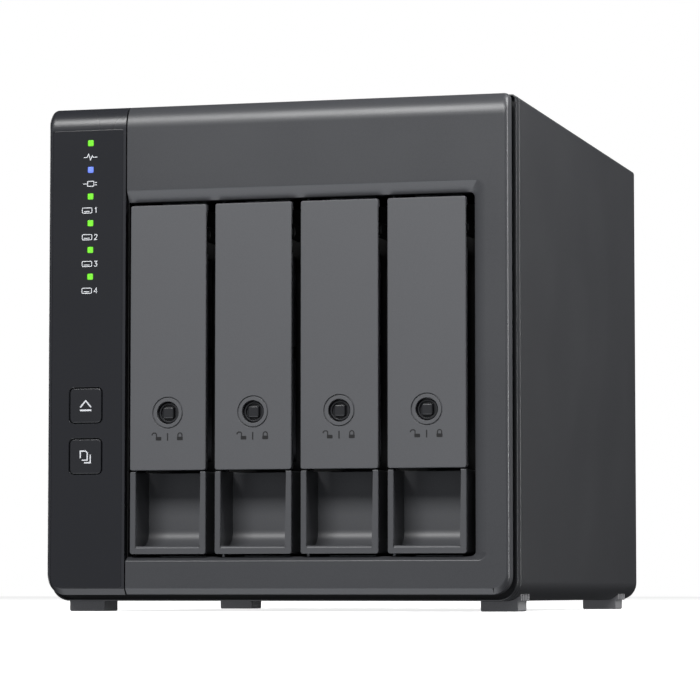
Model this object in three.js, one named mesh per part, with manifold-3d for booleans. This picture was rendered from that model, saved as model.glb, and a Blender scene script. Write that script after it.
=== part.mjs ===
// Four-bay network attached storage: desktop enclosure with four lever-handled drive trays.
// Millimetres, +X right, +Y back, +Z up. Origin: centre of the footprint, on the surface it stands on.

import * as THREE from 'three';
import { mergeVertices } from 'three/addons/utils/BufferGeometryUtils.js';
import Module from 'manifold-3d';

const wasm = await Module();
wasm.setup();

// ---------------------------------------------------------------- driving dimensions

// Whole object
const WIDTH = 160;
const DEPTH = 219;
const HEIGHT = 168.5;
const FOOT_HEIGHT = 3.5;
const GAP = 0.3;
const SHEET = 1.2;

const RIGHT = WIDTH / 2;
const LEFT = -RIGHT;
const FRONT = -DEPTH / 2;
const BACK = DEPTH / 2;
const TOP = HEIGHT;
const BOTTOM = FOOT_HEIGHT;
const BODY_TOP_R = 1.5;
const BODY_BOTTOM_R = 6.5;

// Front: bezel, shadow groove, rim, cover
const BEZEL_HALF = 78.8;
const BEZEL_BOTTOM = 5.5;
const BEZEL_BACK = FRONT + 6.6;
const BEZEL_TOP_R = 2;
const BEZEL_BOTTOM_R = 6;
const FILLET_HEIGHT = 7.6;
const FILLET_DEPTH = 5.2;
const CHIN_HEIGHT = 2;
const CHIN_DEPTH = 1.6;
const RIM_FRONT = FRONT + 8;
const RIM_BACK = FRONT + 12.1;
const RIM_WALL = 0.6;
const RIM_WEB = RIM_FRONT + 2.6;
const RIM_CORE = 3.2;
const FLANGE_BACK = RIM_BACK + 4;
const FLANGE_WIDTH = 6;
const COVER_FRONT = RIM_BACK + 0.4;

// Tray window in the bezel
const SEAM_X = -51.4;
const SEAM = 0.3;
const WINDOW = { left: SEAM_X + 0.15, right: 67.3, bottom: 18, top: 136 };
const WINDOW_BEVEL = { right: 4.2, top: 3.9, bottom: 1.3, depth: 2.4 };

// Status strip on the left of the front
const STRIP_WALL = 2.9;
const OVERLAY = { left: 1.35, right: 1, bottom: 7.9, top: 160.7, bottomR: 3, topR: 0.5, thick: 0.35 };
const LED_X = -64.05;
const LED_PITCH = 8.98;
const LED_TOP_Z = 156.4;
const LED_COUNT = 6;
const LED_SIZE = 2;
const BUTTON_X = -65.3;
const EJECT_Z = 68.4;
const COPY_Z = 51.4;
const BUTTON_HOLE = { width: 12.4, height: 12.8, r: 2 };
const BUTTON_CAP = { width: 11.3, height: 11.7, r: 1.6 };
const BUTTON_THICK = 2.6;
const BUTTON_STEM = { half: 2, back: FRONT + 5.2 };
const BUTTON_TRAVEL = 0.8;
const LIGHT_BAR = { half: 2, front: FRONT + 4.6, back: FRONT + 6.2 };
const FRONT_BOARD = { left: -73.5, right: -57, front: FRONT + 9.6, thick: 1.6, bottom: 40, top: 160 };
const SWITCH = { half: 3, front: FRONT + 6.9, plungerR: 1.5 };

// Hidden left post of the bezel and its tabs, which the status strip clips over
const POST = { left: SEAM_X - 2.4, right: SEAM_X + SEAM / 2, front: FRONT + 3.3, bottom: 9, top: 160 };
const CLIP = { left: -74, back: FRONT + 5.3, spans: [[14, 34], [84, 104]] };

// Trays
const TRAY_COUNT = 4;
const TRAY_PITCH = 29.42;
const FIRST_TRAY_X = -36.55;
const TRAY_WIDTH = 26.3;
const TRAY_BOTTOM = 18.9;
const TRAY_TOP = 134.7;
const TRAY_FRONT = FRONT + 0.2;
const POCKET = { top: 46.1, floor: 21.5, wall: 2, depth: 14, r: 5.4 };
const BULKHEAD_FRONT = FRONT + 19.5;
const BULKHEAD_BACK = BULKHEAD_FRONT + 2;
const SLED_WALL = 1.1;
const SLED_LEFT = -14.4;
const SLED_TOP = TRAY_TOP - 0.5;
const RAIL_HEIGHT = 5.2;
const LOWER_RAIL_HEIGHT = 6.9;
const BULKHEAD_OPENINGS = { half: 9, spans: [[50, 84], [88, 118]] };
const SLED_OPENINGS = { bottom: 36, top: 118, spans: [[-74, -14], [-6, 54]] };

// Handles and locks
const HANDLE_BOTTOM = 46.6;
const HANDLE_THICK = 2.6;
const PIVOT = { y: FRONT + 3.8, z: 125, r: 1.3, hole: 1.6 };
const EAR = { inner: 11.3, r: 2.4, relief: 7, reliefFront: FRONT + 1.2 };
const LUG = { half: 10.9, wall: 2.6, back: PIVOT.y + 2, halfHeight: 3 };
const LOCK_Z = 65.6;
const LOCK = { hole: 3.75, r: 3.4, face: FRONT + 1.8, back: FRONT + 6 };
const LOCK_BOSS = { half: 1.7, halfHeight: 2.2, front: FRONT + 0.6 };
const LOCK_CAM = { half: 2, thick: 1.4, length: 8 };

// 3.5 inch drive
const DRIVE = { width: 26, depth: 147, height: 101.6, front: -84 };
const DRIVE_Z = (TRAY_BOTTOM + TRAY_TOP) / 2;
const DRIVE_BACK = DRIVE.front + DRIVE.depth;
const DRIVE_NOTCH = { left: 5, depth: 5.5, height: 44 };
const STRIP = { half: 5.5, front: DRIVE.front + 8, back: DRIVE_BACK - 12 };

// Cage, boards, fan
const CAGE = { left: -54.2, right: 69.7, bottom: 14.4, top: 139.6, front: FLANGE_BACK + 1, back: 62 };
const BACKPLANE = { front: 66.5, thick: 1.6, left: -51.2, right: 66.8, bottom: 22, top: 132 };
const BOARD = { x: -59.9, thick: 1.6, front: -30, back: 104, bottom: 14, top: 150 };
const GUIDE = { half: 8, rib: 0.45, height: 7 };
const BACKPLANE_VENT = { left: -12.5, right: -1.5, margin: 12 };
const CONNECTOR = { left: 0.7, right: 7, margin: 0.7, tongueLeft: 1.6, tongueRight: 5.6, reach: 4.6 };
const HEAT_SINK = { height: 11, plate: 2.6, front: 0, back: 41.4, bottom: 100, top: 138 };
const FIN = { count: 7, first: 2, pitch: 6, thick: 1.4 };
const FAN = {
  size: 120, depth: 25, x: 7, z: 85, front: 81.5, cornerR: 4,
  hole: 58, hub: 19.5, blade: 55.5, blades: 7,
};
const FAN_SCREW_PITCH = 105;
const FAN_FLANGE = 4;
const FAN_WAIST = { halfHeight: 42, wall: 1.4 };
const SPIDER = { half: 2, thick: 2.5 };
const BLADE = { chord: 30, thick: 1.6, pitchAngle: 32 };
const ROTOR = { front: FAN.front + 1, back: FAN.front + 21.5 };
const FAN_HEADER = { right: -54.6, front: FAN.front - 12, back: FAN.front - 6, bottom: 141, top: 149 };
const LEAD_R = 1;

// Back of the body
const REAR = { front: BACK - 2.2, back: BACK - 1 };
const HOOD = { half: 68, front: REAR.front - 8, bottom: TOP - 4, top: TOP - 2.8 };
const GRILLE = { rings: 6, first: 9, step: 8.2, bar: 2.2, spokes: 4 };
const COVER_SCREWS = [[-74, 156], [74, 156]];
const SCREW = { head: 3.1, shank: 1.6, hole: 1.9 };
const LOCK_SLOT = { x: 73.4, z: 40, width: 3, height: 7 };
const SOCKET_BACK = BACK - 0.5;
const POWER_BUTTON = { x: -67.5, z: 146, r: 5.5, collar: 6.2, flange: 7.5 };

// Sockets on the back edge of the controller board: height stands off the board towards -X.
const SOCKETS = {
  lan: { z: 50, height: 16, width: 13.4, depth: 21, mouth: [11.8, 8.6], reach: 12 },
  usb_1: { z: 74, height: 14.4, width: 7.2, depth: 15, mouth: [12.4, 5.2], reach: 11 },
  usb_2: { z: 95, height: 14.4, width: 7.2, depth: 15, mouth: [12.4, 5.2], reach: 11 },
  power: { z: 28, height: 10, width: 11, depth: 14, mouth: [6.4, 6.4], reach: 9 },
};

// Underside
const BASE = {
  half: 70, slotsX: [-48, -24, 0, 24, 48], slotsY: [-40, 30], slotHalf: 1.5, slotReach: 20,
};

// Feet
const FOOT = { inner: 65, outer: 77.5, lug: 78.5, length: 13.2, frontFar: 90.1, backFar: 92.7 };
const FOOT_RIB = { count: 4, first: 2, pitch: 2.8, gap: 1.2, depth: 0.5 };

// ---------------------------------------------------------------- materials

function finish(color, roughness, metalness = 0) {
  return new THREE.MeshStandardMaterial({ color, roughness, metalness });
}

const materials = {
  bezel: () => finish(0x38393c, 0.45),
  strip: () => finish(0x1f2023, 0.3),
  overlay: () => finish(0x121316, 0.12),
  tray: () => finish(0x4c4d50, 0.5),
  pocket: () => finish(0x333438, 0.4),
  cover: () => finish(0x2a2b2e, 0.5, 0.2),
  sheet: () => finish(0x9fa2a6, 0.4, 0.9),
  dark: () => finish(0x1b1c1e, 0.5),
  clear: () => finish(0xdfe6ea, 0.1),
  board: () => finish(0x1f5a38, 0.5),
  metal: () => finish(0xb9bcc0, 0.35, 0.9),
  rubber: () => finish(0x242528, 0.8),
};

// ---------------------------------------------------------------- geometry helpers

function solid(geometry) {
  const bare = geometry.clone();
  bare.deleteAttribute('normal');
  bare.deleteAttribute('uv');
  const merged = mergeVertices(bare, 1e-4);
  const vertProperties = new Float32Array(merged.attributes.position.array);
  const triVerts = new Uint32Array(merged.index.array);
  return new wasm.Manifold(new wasm.Mesh({ numProp: 3, vertProperties, triVerts }));
}

function geometryOf(manifold) {
  const mesh = manifold.getMesh();
  const geometry = new THREE.BufferGeometry();
  const positions = new Float32Array(mesh.vertProperties);
  geometry.setAttribute('position', new THREE.BufferAttribute(positions, 3));
  geometry.setIndex(new THREE.BufferAttribute(new Uint32Array(mesh.triVerts), 1));
  geometry.computeVertexNormals();
  return geometry;
}

function join(...solids) {
  return solids.reduce((whole, next) => whole.add(next));
}

function block(x0, x1, y0, y1, z0, z1) {
  const box = new THREE.BoxGeometry(x1 - x0, y1 - y0, z1 - z0);
  box.translate((x0 + x1) / 2, (y0 + y1) / 2, (z0 + z1) / 2);
  return solid(box);
}

const X = new THREE.Vector3(1, 0, 0);
const Y = new THREE.Vector3(0, 1, 0);
const Z = new THREE.Vector3(0, 0, 1);

function extrusion(shape, depth, curveSegments) {
  return new THREE.ExtrudeGeometry(shape, { depth, bevelEnabled: false, curveSegments });
}

// A front-view outline (X right, Z up) given depth from y0 back to y1.
function slab(shape, y0, y1, curveSegments = 4) {
  const geometry = extrusion(shape, y1 - y0, curveSegments);
  geometry.applyMatrix4(new THREE.Matrix4().makeBasis(X, Z, Y.clone().negate()));
  geometry.translate(0, y1, 0);
  return solid(geometry);
}

// A side-view outline (Y back, Z up) given width from x0 to x1.
function beam(shape, x0, x1, curveSegments = 4) {
  const geometry = extrusion(shape, x1 - x0, curveSegments);
  geometry.applyMatrix4(new THREE.Matrix4().makeBasis(Y, Z, X));
  geometry.translate(x0, 0, 0);
  return solid(geometry);
}

// Rectangle outline with its own radius at the bottom and top corners.
function outline(x0, x1, z0, z1, bottomR, topR = bottomR) {
  const shape = new THREE.Shape();
  shape.moveTo(x0 + bottomR, z0);
  shape.lineTo(x1 - bottomR, z0);
  shape.absarc(x1 - bottomR, z0 + bottomR, bottomR, -Math.PI / 2, 0);
  shape.lineTo(x1, z1 - topR);
  shape.absarc(x1 - topR, z1 - topR, topR, 0, Math.PI / 2);
  shape.lineTo(x0 + topR, z1);
  shape.absarc(x0 + topR, z1 - topR, topR, Math.PI / 2, Math.PI);
  shape.lineTo(x0, z0 + bottomR);
  shape.absarc(x0 + bottomR, z0 + bottomR, bottomR, Math.PI, Math.PI * 1.5);
  return shape;
}

function bodyOutline(inset) {
  return outline(
    LEFT + inset, RIGHT - inset, BOTTOM + inset, TOP - inset,
    BODY_BOTTOM_R - Math.min(inset, 4.5), Math.max(BODY_TOP_R - inset, 0.4),
  );
}

function centred(x, z, { width, height, r }) {
  return outline(x - width / 2, x + width / 2, z - height / 2, z + height / 2, r);
}

function rodY(x, z, r, y0, y1, sides = 20) {
  const rod = new THREE.CylinderGeometry(r, r, y1 - y0, sides);
  rod.translate(x, (y0 + y1) / 2, z);
  return solid(rod);
}

function rodX(y, z, r, x0, x1, sides = 16) {
  const rod = new THREE.CylinderGeometry(r, r, x1 - x0, sides);
  rod.rotateZ(Math.PI / 2);
  rod.translate((x0 + x1) / 2, y, z);
  return solid(rod);
}

function piece(parent, name, shape, material) {
  const mesh = new THREE.Mesh(geometryOf(shape), material());
  mesh.name = name;
  parent.add(mesh);
}

// ---------------------------------------------------------------- front

// Side view of the front face: rounded top edge, bevelled chin.
function faceProfile() {
  const shape = new THREE.Shape();
  shape.moveTo(FRONT + CHIN_DEPTH, BEZEL_BOTTOM);
  shape.lineTo(BACK, BEZEL_BOTTOM);
  shape.lineTo(BACK, TOP);
  shape.lineTo(FRONT + FILLET_DEPTH, TOP);
  const centreY = FRONT + FILLET_DEPTH;
  shape.absellipse(centreY, TOP - FILLET_HEIGHT, FILLET_DEPTH, FILLET_HEIGHT, Math.PI / 2, Math.PI);
  shape.lineTo(FRONT, BEZEL_BOTTOM + CHIN_HEIGHT);
  return shape;
}

function frontSlab() {
  const face = outline(-BEZEL_HALF, BEZEL_HALF, BEZEL_BOTTOM, TOP, BEZEL_BOTTOM_R, BEZEL_TOP_R);
  return slab(face, FRONT, BEZEL_BACK).intersect(beam(faceProfile(), LEFT, RIGHT, 6));
}

// The window's sloping edges: a frustum that is widest at the front face.
function windowCut() {
  const near = FRONT - 1;
  const far = BEZEL_BACK + 1;
  const { left, right, bottom, top } = WINDOW;
  const slope = WINDOW_BEVEL.depth / (WINDOW_BEVEL.depth + 1);
  const mouth = {
    left,
    right: right + WINDOW_BEVEL.right / slope,
    bottom: bottom - WINDOW_BEVEL.bottom / slope,
    top: top + WINDOW_BEVEL.top / slope,
  };
  const bevelBack = FRONT + WINDOW_BEVEL.depth;
  const corners = [
    [mouth.left, near, mouth.bottom], [mouth.right, near, mouth.bottom],
    [mouth.right, near, mouth.top], [mouth.left, near, mouth.top],
    [left, bevelBack, bottom], [right, bevelBack, bottom],
    [right, bevelBack, top], [left, bevelBack, top],
  ];
  const nearAndFar = [0, 1, 2, 0, 2, 3, 4, 6, 5, 4, 7, 6];
  const slopes = [0, 4, 5, 0, 5, 1, 1, 5, 6, 1, 6, 2, 2, 6, 7, 2, 7, 3, 3, 7, 4, 3, 4, 0];
  const frustum = new THREE.BufferGeometry();
  frustum.setAttribute('position', new THREE.Float32BufferAttribute(corners.flat(), 3));
  frustum.setIndex([...nearAndFar, ...slopes]);
  frustum.computeVertexNormals();
  return solid(frustum).add(block(left, right, bevelBack - 0.5, far, bottom, top));
}

function bezelPost() {
  const { left, right, front, bottom, top } = POST;
  const post = block(left, right, front, BEZEL_BACK, bottom, top);
  const tabs = CLIP.spans.map(([z0, z1]) => block(CLIP.left, left + 1, front, CLIP.back, z0, z1));
  const bridges = [[bottom, WINDOW.bottom - 0.5], [WINDOW.top + 0.5, top]];
  const arms = bridges.map(([z0, z1]) => block(left, right + 2, front, BEZEL_BACK, z0, z1));
  return join(post, ...tabs, ...arms);
}

function frontBezel() {
  const main = frontSlab().subtract(block(LEFT, SEAM_X + SEAM / 2, FRONT - 1, BACK, 0, TOP + 1));
  return main.subtract(windowCut()).add(bezelPost());
}

function ledZ(index) {
  return LED_TOP_Z - LED_PITCH * index;
}

function ledHoles(size, y0, y1) {
  const half = size / 2;
  const holes = Array.from({ length: LED_COUNT }, (_, i) =>
    block(LED_X - half, LED_X + half, y0, y1, ledZ(i) - half, ledZ(i) + half));
  return join(...holes);
}

function buttonHoles(y0, y1) {
  const holes = [EJECT_Z, COPY_Z].map((z) => slab(centred(BUTTON_X, z, BUTTON_HOLE), y0, y1, 3));
  return join(...holes);
}

// The overlay's face, rounded at its left corners as the strip is.
function filmSlab(grow, y0, y1) {
  const { bottom, top, bottomR, topR } = OVERLAY;
  const left = -BEZEL_HALF + OVERLAY.left - grow;
  const right = SEAM_X - SEAM / 2 - OVERLAY.right + grow;
  const shape = outline(left, right + 20, bottom - grow, top + grow, bottomR, topR);
  return slab(shape, y0, y1).subtract(block(right, right + 21, y0 - 1, y1 + 1, 0, TOP));
}

function statusStrip() {
  const right = SEAM_X - SEAM / 2;
  const strip = frontSlab().subtract(block(right, RIGHT, FRONT - 1, BACK, 0, TOP + 1));
  const hollow = block(-BEZEL_HALF + 2, right + 1, FRONT + STRIP_WALL, BACK, 8, TOP - 3.5);
  return strip.subtract(hollow).subtract(filmSlab(0.15, FRONT - 1, FRONT + OVERLAY.thick + 0.15))
    .subtract(ledHoles(LED_SIZE + 0.8, FRONT - 1, FRONT + 4))
    .subtract(buttonHoles(FRONT - 1, FRONT + 4));
}

function stripOverlay() {
  return filmSlab(0, FRONT, FRONT + OVERLAY.thick)
    .subtract(ledHoles(LED_SIZE + 0.3, FRONT - 1, FRONT + 1))
    .subtract(buttonHoles(FRONT - 1, FRONT + 1));
}

function lightGuide() {
  const { half, front, back } = LIGHT_BAR;
  const lowest = ledZ(LED_COUNT - 1);
  const bar = block(LED_X - half, LED_X + half, front, back, lowest - half, LED_TOP_Z + half);
  return bar.add(ledHoles(LED_SIZE, FRONT + 0.05, front + 0.4));
}

function pushButton(z) {
  const capBack = FRONT + BUTTON_THICK;
  const { half, back } = BUTTON_STEM;
  const cap = slab(centred(BUTTON_X, z, BUTTON_CAP), FRONT, capBack, 3);
  return cap.add(block(BUTTON_X - half, BUTTON_X + half, capBack - 0.1, back, z - half, z + half));
}

function frontBoard() {
  const { left, right, front, thick, bottom, top } = FRONT_BOARD;
  return block(left, right, front, front + thick, bottom, top);
}

function tactSwitch(z) {
  const { half, front, plungerR } = SWITCH;
  const back = FRONT_BOARD.front - 0.2;
  const body = block(BUTTON_X - half, BUTTON_X + half, front, back, z - half, z + half);
  const plungerFront = BUTTON_STEM.back + 0.1 + BUTTON_TRAVEL;
  return body.add(rodY(BUTTON_X, z, plungerR, plungerFront, front + 0.3, 12));
}

function ring(outer, inner, y0, y1) {
  return slab(bodyOutline(outer), y0, y1).subtract(slab(bodyOutline(inner), y0 - 1, y1 + 1));
}

// Frame behind the bezel: outer lip, web, core that backs the bezel, and flange under the cover.
function bodyRim() {
  return join(
    ring(0, RIM_WALL, RIM_FRONT, RIM_BACK),
    ring(0, FLANGE_WIDTH, RIM_WEB, RIM_BACK),
    ring(RIM_CORE, FLANGE_WIDTH, BEZEL_BACK + GAP, RIM_WEB + 0.1),
    ring(SHEET + GAP, FLANGE_WIDTH, RIM_BACK - 0.1, FLANGE_BACK),
  );
}

// ---------------------------------------------------------------- body shells

function outerCover() {
  const mouth = block(-BASE.half, BASE.half, FRONT, BACK + 1, 0, BOTTOM + SHEET + 1);
  return slab(bodyOutline(0), COVER_FRONT, BACK)
    .subtract(slab(bodyOutline(SHEET), FRONT, BACK + 1))
    .subtract(mouth);
}

function basePlate() {
  const { half, slotsX, slotsY, slotHalf, slotReach } = BASE;
  const right = half - GAP;
  const plate = block(-right, right, COVER_FRONT, REAR.front - GAP, BOTTOM, BOTTOM + SHEET);
  const slots = slotsX.flatMap((x) => slotsY.map((y) =>
    block(x - slotHalf, x + slotHalf, y - slotReach, y + slotReach, 0, BOTTOM + SHEET + 1)));
  return plate.subtract(join(...slots));
}

function arcSlot(innerR, outerR, from, to) {
  const shape = new THREE.Shape();
  shape.absarc(FAN.x, FAN.z, outerR, from, to, false);
  shape.absarc(FAN.x, FAN.z, innerR, to, from, true);
  return slab(shape, REAR.front - 1, REAR.back + 1, 3);
}

function fanGrille() {
  const slots = [];
  for (let ring = 0; ring < GRILLE.rings; ring += 1) {
    const inner = GRILLE.first + GRILLE.step * ring;
    const outer = inner + GRILLE.step - GRILLE.bar;
    for (let spoke = 0; spoke < GRILLE.spokes; spoke += 1) {
      const margin = GRILLE.bar / inner / 1.2;
      const start = (Math.PI / 2) * spoke + Math.PI / 4;
      slots.push(arcSlot(inner, outer, start + margin, start + Math.PI / 2 - margin));
    }
  }
  return join(...slots);
}

function socketBlock(spec, margin, y0, y1) {
  const right = BOARD.x - GAP;
  const half = spec.height / 2 + margin;
  return block(right - spec.width - margin, right + margin, y0, y1, spec.z - half, spec.z + half);
}

function socketCentreX(spec) {
  return BOARD.x - GAP - spec.width / 2;
}

function socket(spec) {
  const { z, depth, reach, mouth } = spec;
  const shell = socketBlock(spec, 0, SOCKET_BACK - depth, SOCKET_BACK);
  const x = socketCentreX(spec);
  const tall = mouth[0] / 2;
  const wide = mouth[1] / 2;
  const front = SOCKET_BACK - reach;
  return shell.subtract(block(x - wide, x + wide, front, BACK + 1, z - tall, z + tall));
}

function powerSocket() {
  const spec = SOCKETS.power;
  const shell = socketBlock(spec, 0, SOCKET_BACK - spec.depth, SOCKET_BACK);
  const front = SOCKET_BACK - spec.reach;
  return shell.subtract(rodY(socketCentreX(spec), spec.z, spec.mouth[0] / 2, front, BACK + 1, 20));
}

function fanScrewPlaces() {
  const half = FAN_SCREW_PITCH / 2;
  const corners = [[-half, -half], [half, -half], [-half, half], [half, half]];
  return corners.map(([x, z]) => [FAN.x + x, FAN.z + z]);
}

function rearPanel() {
  const wall = SHEET + 0.4;
  const face = outline(LEFT + wall, RIGHT - wall, BOTTOM + SHEET + GAP, TOP - wall, 4.6, 0.6);
  let panel = slab(face, REAR.front, REAR.back);
  const hood = block(-HOOD.half, HOOD.half, HOOD.front, REAR.front + 0.5, HOOD.bottom, HOOD.top);
  panel = panel.add(hood);
  const y0 = REAR.front - 1;
  const y1 = REAR.back + 1;
  for (const spec of Object.values(SOCKETS)) {
    panel = panel.subtract(socketBlock(spec, GAP, y0, y1));
  }
  for (const [x, z] of [...fanScrewPlaces(), ...COVER_SCREWS]) {
    panel = panel.subtract(rodY(x, z, SCREW.hole, y0, y1, 10));
  }
  const { x, z, width, height } = LOCK_SLOT;
  return panel
    .subtract(fanGrille())
    .subtract(rodY(POWER_BUTTON.x, POWER_BUTTON.z, POWER_BUTTON.collar, y0, y1, 24))
    .subtract(block(x - width / 2, x + width / 2, y0, y1, z - height / 2, z + height / 2));
}

function screw(x, z, length) {
  const head = rodY(x, z, SCREW.head, REAR.back + 0.1, BACK - 0.1, 14);
  return head.add(rodY(x, z, SCREW.shank, REAR.back - length, REAR.back + 0.2, 10));
}

// One corner foot: pad below the base, ribbed lug under the rounded long edge of the cover.
function foot(side, end) {
  const shape = new THREE.Shape();
  const clearR = BODY_BOTTOM_R + GAP;
  const arcX = RIGHT - BODY_BOTTOM_R;
  const arcZ = BOTTOM + BODY_BOTTOM_R;
  const lugAngle = Math.asin((FOOT.lug - arcX) / clearR);
  shape.moveTo(FOOT.inner, 0);
  shape.lineTo(FOOT.outer, 0);
  shape.lineTo(FOOT.outer, BOTTOM - GAP);
  shape.lineTo(FOOT.lug, BOTTOM - GAP);
  shape.lineTo(FOOT.lug, arcZ - clearR * Math.cos(lugAngle));
  shape.absarc(arcX, arcZ, clearR, -Math.PI / 2 + lugAngle, -Math.PI / 2, true);
  shape.lineTo(FOOT.inner, BOTTOM - GAP);
  const far = end < 0 ? FOOT.frontFar : FOOT.backFar;
  const near = far - FOOT.length;
  const body = slab(shape, near, far, 4);
  const grooves = Array.from({ length: FOOT_RIB.count }, (_, i) => {
    const y = near + FOOT_RIB.first + i * FOOT_RIB.pitch;
    const x = FOOT.lug - FOOT_RIB.depth;
    return block(x, FOOT.lug + 1, y, y + FOOT_RIB.gap, BOTTOM - GAP - 0.1, BOTTOM + 4);
  });
  const ribbed = body.subtract(join(...grooves));
  const mirrored = side < 0 ? ribbed.mirror([1, 0, 0]) : ribbed;
  return end < 0 ? mirrored.mirror([0, 1, 0]) : mirrored;
}

// ---------------------------------------------------------------- inside

function trayX(index) {
  return FIRST_TRAY_X + TRAY_PITCH * index;
}

function driveCage() {
  const { left, right, bottom, top, front, back } = CAGE;
  const tube = block(left, right, front, back, bottom, top)
    .subtract(block(left + SHEET, right - SHEET, front - 1, back + 1, bottom + SHEET, top - SHEET));
  const guides = [];
  for (let i = 0; i < TRAY_COUNT; i += 1) {
    const x = trayX(i);
    const { half, rib, height } = GUIDE;
    guides.push(block(x - half, x + half, front, back, bottom + 1, TRAY_BOTTOM - GAP));
    guides.push(block(x - half, x + half, front, back, TRAY_TOP + GAP, top - 1));
    if (i < TRAY_COUNT - 1) {
      const middle = x + TRAY_WIDTH / 2 + 0.5 + rib;
      guides.push(block(middle - rib, middle + rib, front, back, bottom + 1, TRAY_BOTTOM + height));
      guides.push(block(middle - rib, middle + rib, front, back, TRAY_TOP - height, top - 1));
    }
  }
  return join(tube, ...guides);
}

function backplane() {
  const { front, thick, left, right, bottom, top } = BACKPLANE;
  const board = block(left, right, front, front + thick, bottom, top);
  const vents = [];
  for (let i = 0; i < TRAY_COUNT; i += 1) {
    const x0 = trayX(i) + BACKPLANE_VENT.left;
    const x1 = trayX(i) + BACKPLANE_VENT.right;
    const { margin } = BACKPLANE_VENT;
    vents.push(block(x0, x1, front - 1, front + thick + 1, bottom + margin, top - margin));
  }
  return board.subtract(join(...vents));
}

function driveConnector(index) {
  const { left, right, margin, tongueLeft, tongueRight, reach } = CONNECTOR;
  const x = trayX(index) + DRIVE_NOTCH.left;
  const half = DRIVE_NOTCH.height / 2 - margin;
  const z0 = DRIVE_Z - half;
  const z1 = DRIVE_Z + half;
  const body = block(x + left, x + right, DRIVE_BACK + 0.4, BACKPLANE.front - 0.2, z0, z1);
  return body.add(block(x + tongueLeft, x + tongueRight, DRIVE_BACK - reach, DRIVE_BACK + 1, z0, z1));
}

function controllerBoard() {
  const { right, front, back, bottom, top } = FAN_HEADER;
  return block(BOARD.x, BOARD.x + BOARD.thick, BOARD.front, BOARD.back, BOARD.bottom, BOARD.top)
    .add(block(BOARD.x + 1, right, front, back, bottom, top));
}

function heatSink() {
  const { height, plate, front, back, bottom, top } = HEAT_SINK;
  const right = BOARD.x - GAP;
  const fins = Array.from({ length: FIN.count }, (_, i) => {
    const y = front + FIN.first + i * FIN.pitch;
    return block(right - height, right - plate + 0.6, y, y + FIN.thick, bottom, top);
  });
  return join(block(right - plate, right, front, back, bottom, top), ...fins);
}

function powerButton() {
  const { x, z, r, flange } = POWER_BUTTON;
  const cap = rodY(x, z, r, REAR.back - 3, BACK, 28);
  return cap.add(rodY(x, z, flange, REAR.front - 3.4, REAR.front - 1.2, 20));
}

function fanFrame() {
  const half = FAN.size / 2;
  const back = FAN.front + FAN.depth;
  const { x: fanX, z: fanZ } = FAN;
  const face = outline(fanX - half, fanX + half, fanZ - half, fanZ + half, FAN.cornerR);
  const bore = rodY(fanX, fanZ, FAN.hole, FAN.front - 1, back + 1, 40);
  const { halfHeight, wall } = FAN_WAIST;
  const sides = outline(fanX - half - 1, fanX + half + 1, fanZ - halfHeight, fanZ + halfHeight, 1);
  const waist = slab(sides, FAN.front + FAN_FLANGE, back - FAN_FLANGE, 2)
    .subtract(rodY(fanX, fanZ, FAN.hole + wall, FAN.front, back, 40));
  let frame = slab(face, FAN.front, back, 3).subtract(bore).subtract(waist);
  const arm = FAN.hole + 1;
  const spiderFront = back - SPIDER.thick;
  const spider = join(
    block(fanX - arm, fanX + arm, spiderFront, back, fanZ - SPIDER.half, fanZ + SPIDER.half),
    block(fanX - SPIDER.half, fanX + SPIDER.half, spiderFront, back, fanZ - arm, fanZ + arm),
    rodY(fanX, fanZ, FAN.hub - 1, spiderFront, back, 24),
  );
  for (const [x, z] of fanScrewPlaces()) {
    frame = frame.subtract(rodY(x, z, 2.1, FAN.front - 1, back + 1, 10));
  }
  return frame.add(spider);
}

function fanBlade(turn) {
  const length = FAN.blade - FAN.hub + 2;
  const blade = new THREE.BoxGeometry(BLADE.chord, BLADE.thick, length);
  blade.rotateZ(THREE.MathUtils.degToRad(BLADE.pitchAngle));
  blade.translate(0, ROTOR.front + 10, FAN.hub - 2 + length / 2);
  blade.rotateY(turn);
  blade.translate(FAN.x, 0, FAN.z);
  return solid(blade);
}

function fanRotor() {
  const hub = rodY(FAN.x, FAN.z, FAN.hub, ROTOR.front, ROTOR.back, 28);
  const step = (Math.PI * 2) / FAN.blades;
  const blades = Array.from({ length: FAN.blades }, (_, i) => fanBlade(i * step));
  const sweep = rodY(FAN.x, FAN.z, FAN.blade, ROTOR.front, ROTOR.back, 56);
  return join(hub, ...blades).intersect(sweep);
}

// Lead from the fan's corner to the header on the controller board.
function fanLead() {
  const headerX = FAN_HEADER.right + 0.4;
  const headerZ = (FAN_HEADER.bottom + FAN_HEADER.top) / 2;
  const route = new THREE.CatmullRomCurve3([
    new THREE.Vector3(headerX + 5.2, FAN.front - 0.4, headerZ - 5),
    new THREE.Vector3(headerX + 5.1, FAN.front - 3, headerZ - 4.4),
    new THREE.Vector3(headerX + 4, FAN.front - 6.6, headerZ - 1.8),
    new THREE.Vector3(headerX + 2, FAN.front - 8.8, headerZ - 0.2),
    new THREE.Vector3(headerX, FAN.front - 9, headerZ),
  ]);
  const section = new THREE.Shape();
  section.absarc(0, 0, LEAD_R, 0, Math.PI * 2);
  const sweep = { steps: 14, curveSegments: 4, extrudePath: route };
  return solid(new THREE.ExtrudeGeometry(section, sweep));
}

// ---------------------------------------------------------------- trays

function pocketCut() {
  const { floor, wall, depth, r } = POCKET;
  const back = TRAY_FRONT + depth;
  const shape = new THREE.Shape();
  shape.moveTo(TRAY_FRONT - 1, floor);
  shape.lineTo(back - r, floor);
  shape.absarc(back - r, floor + r, r, -Math.PI / 2, 0);
  shape.lineTo(back, POCKET.top + 1);
  shape.lineTo(TRAY_FRONT - 1, POCKET.top + 1);
  return beam(shape, -TRAY_WIDTH / 2 + wall, TRAY_WIDTH / 2 - wall, 6);
}

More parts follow.
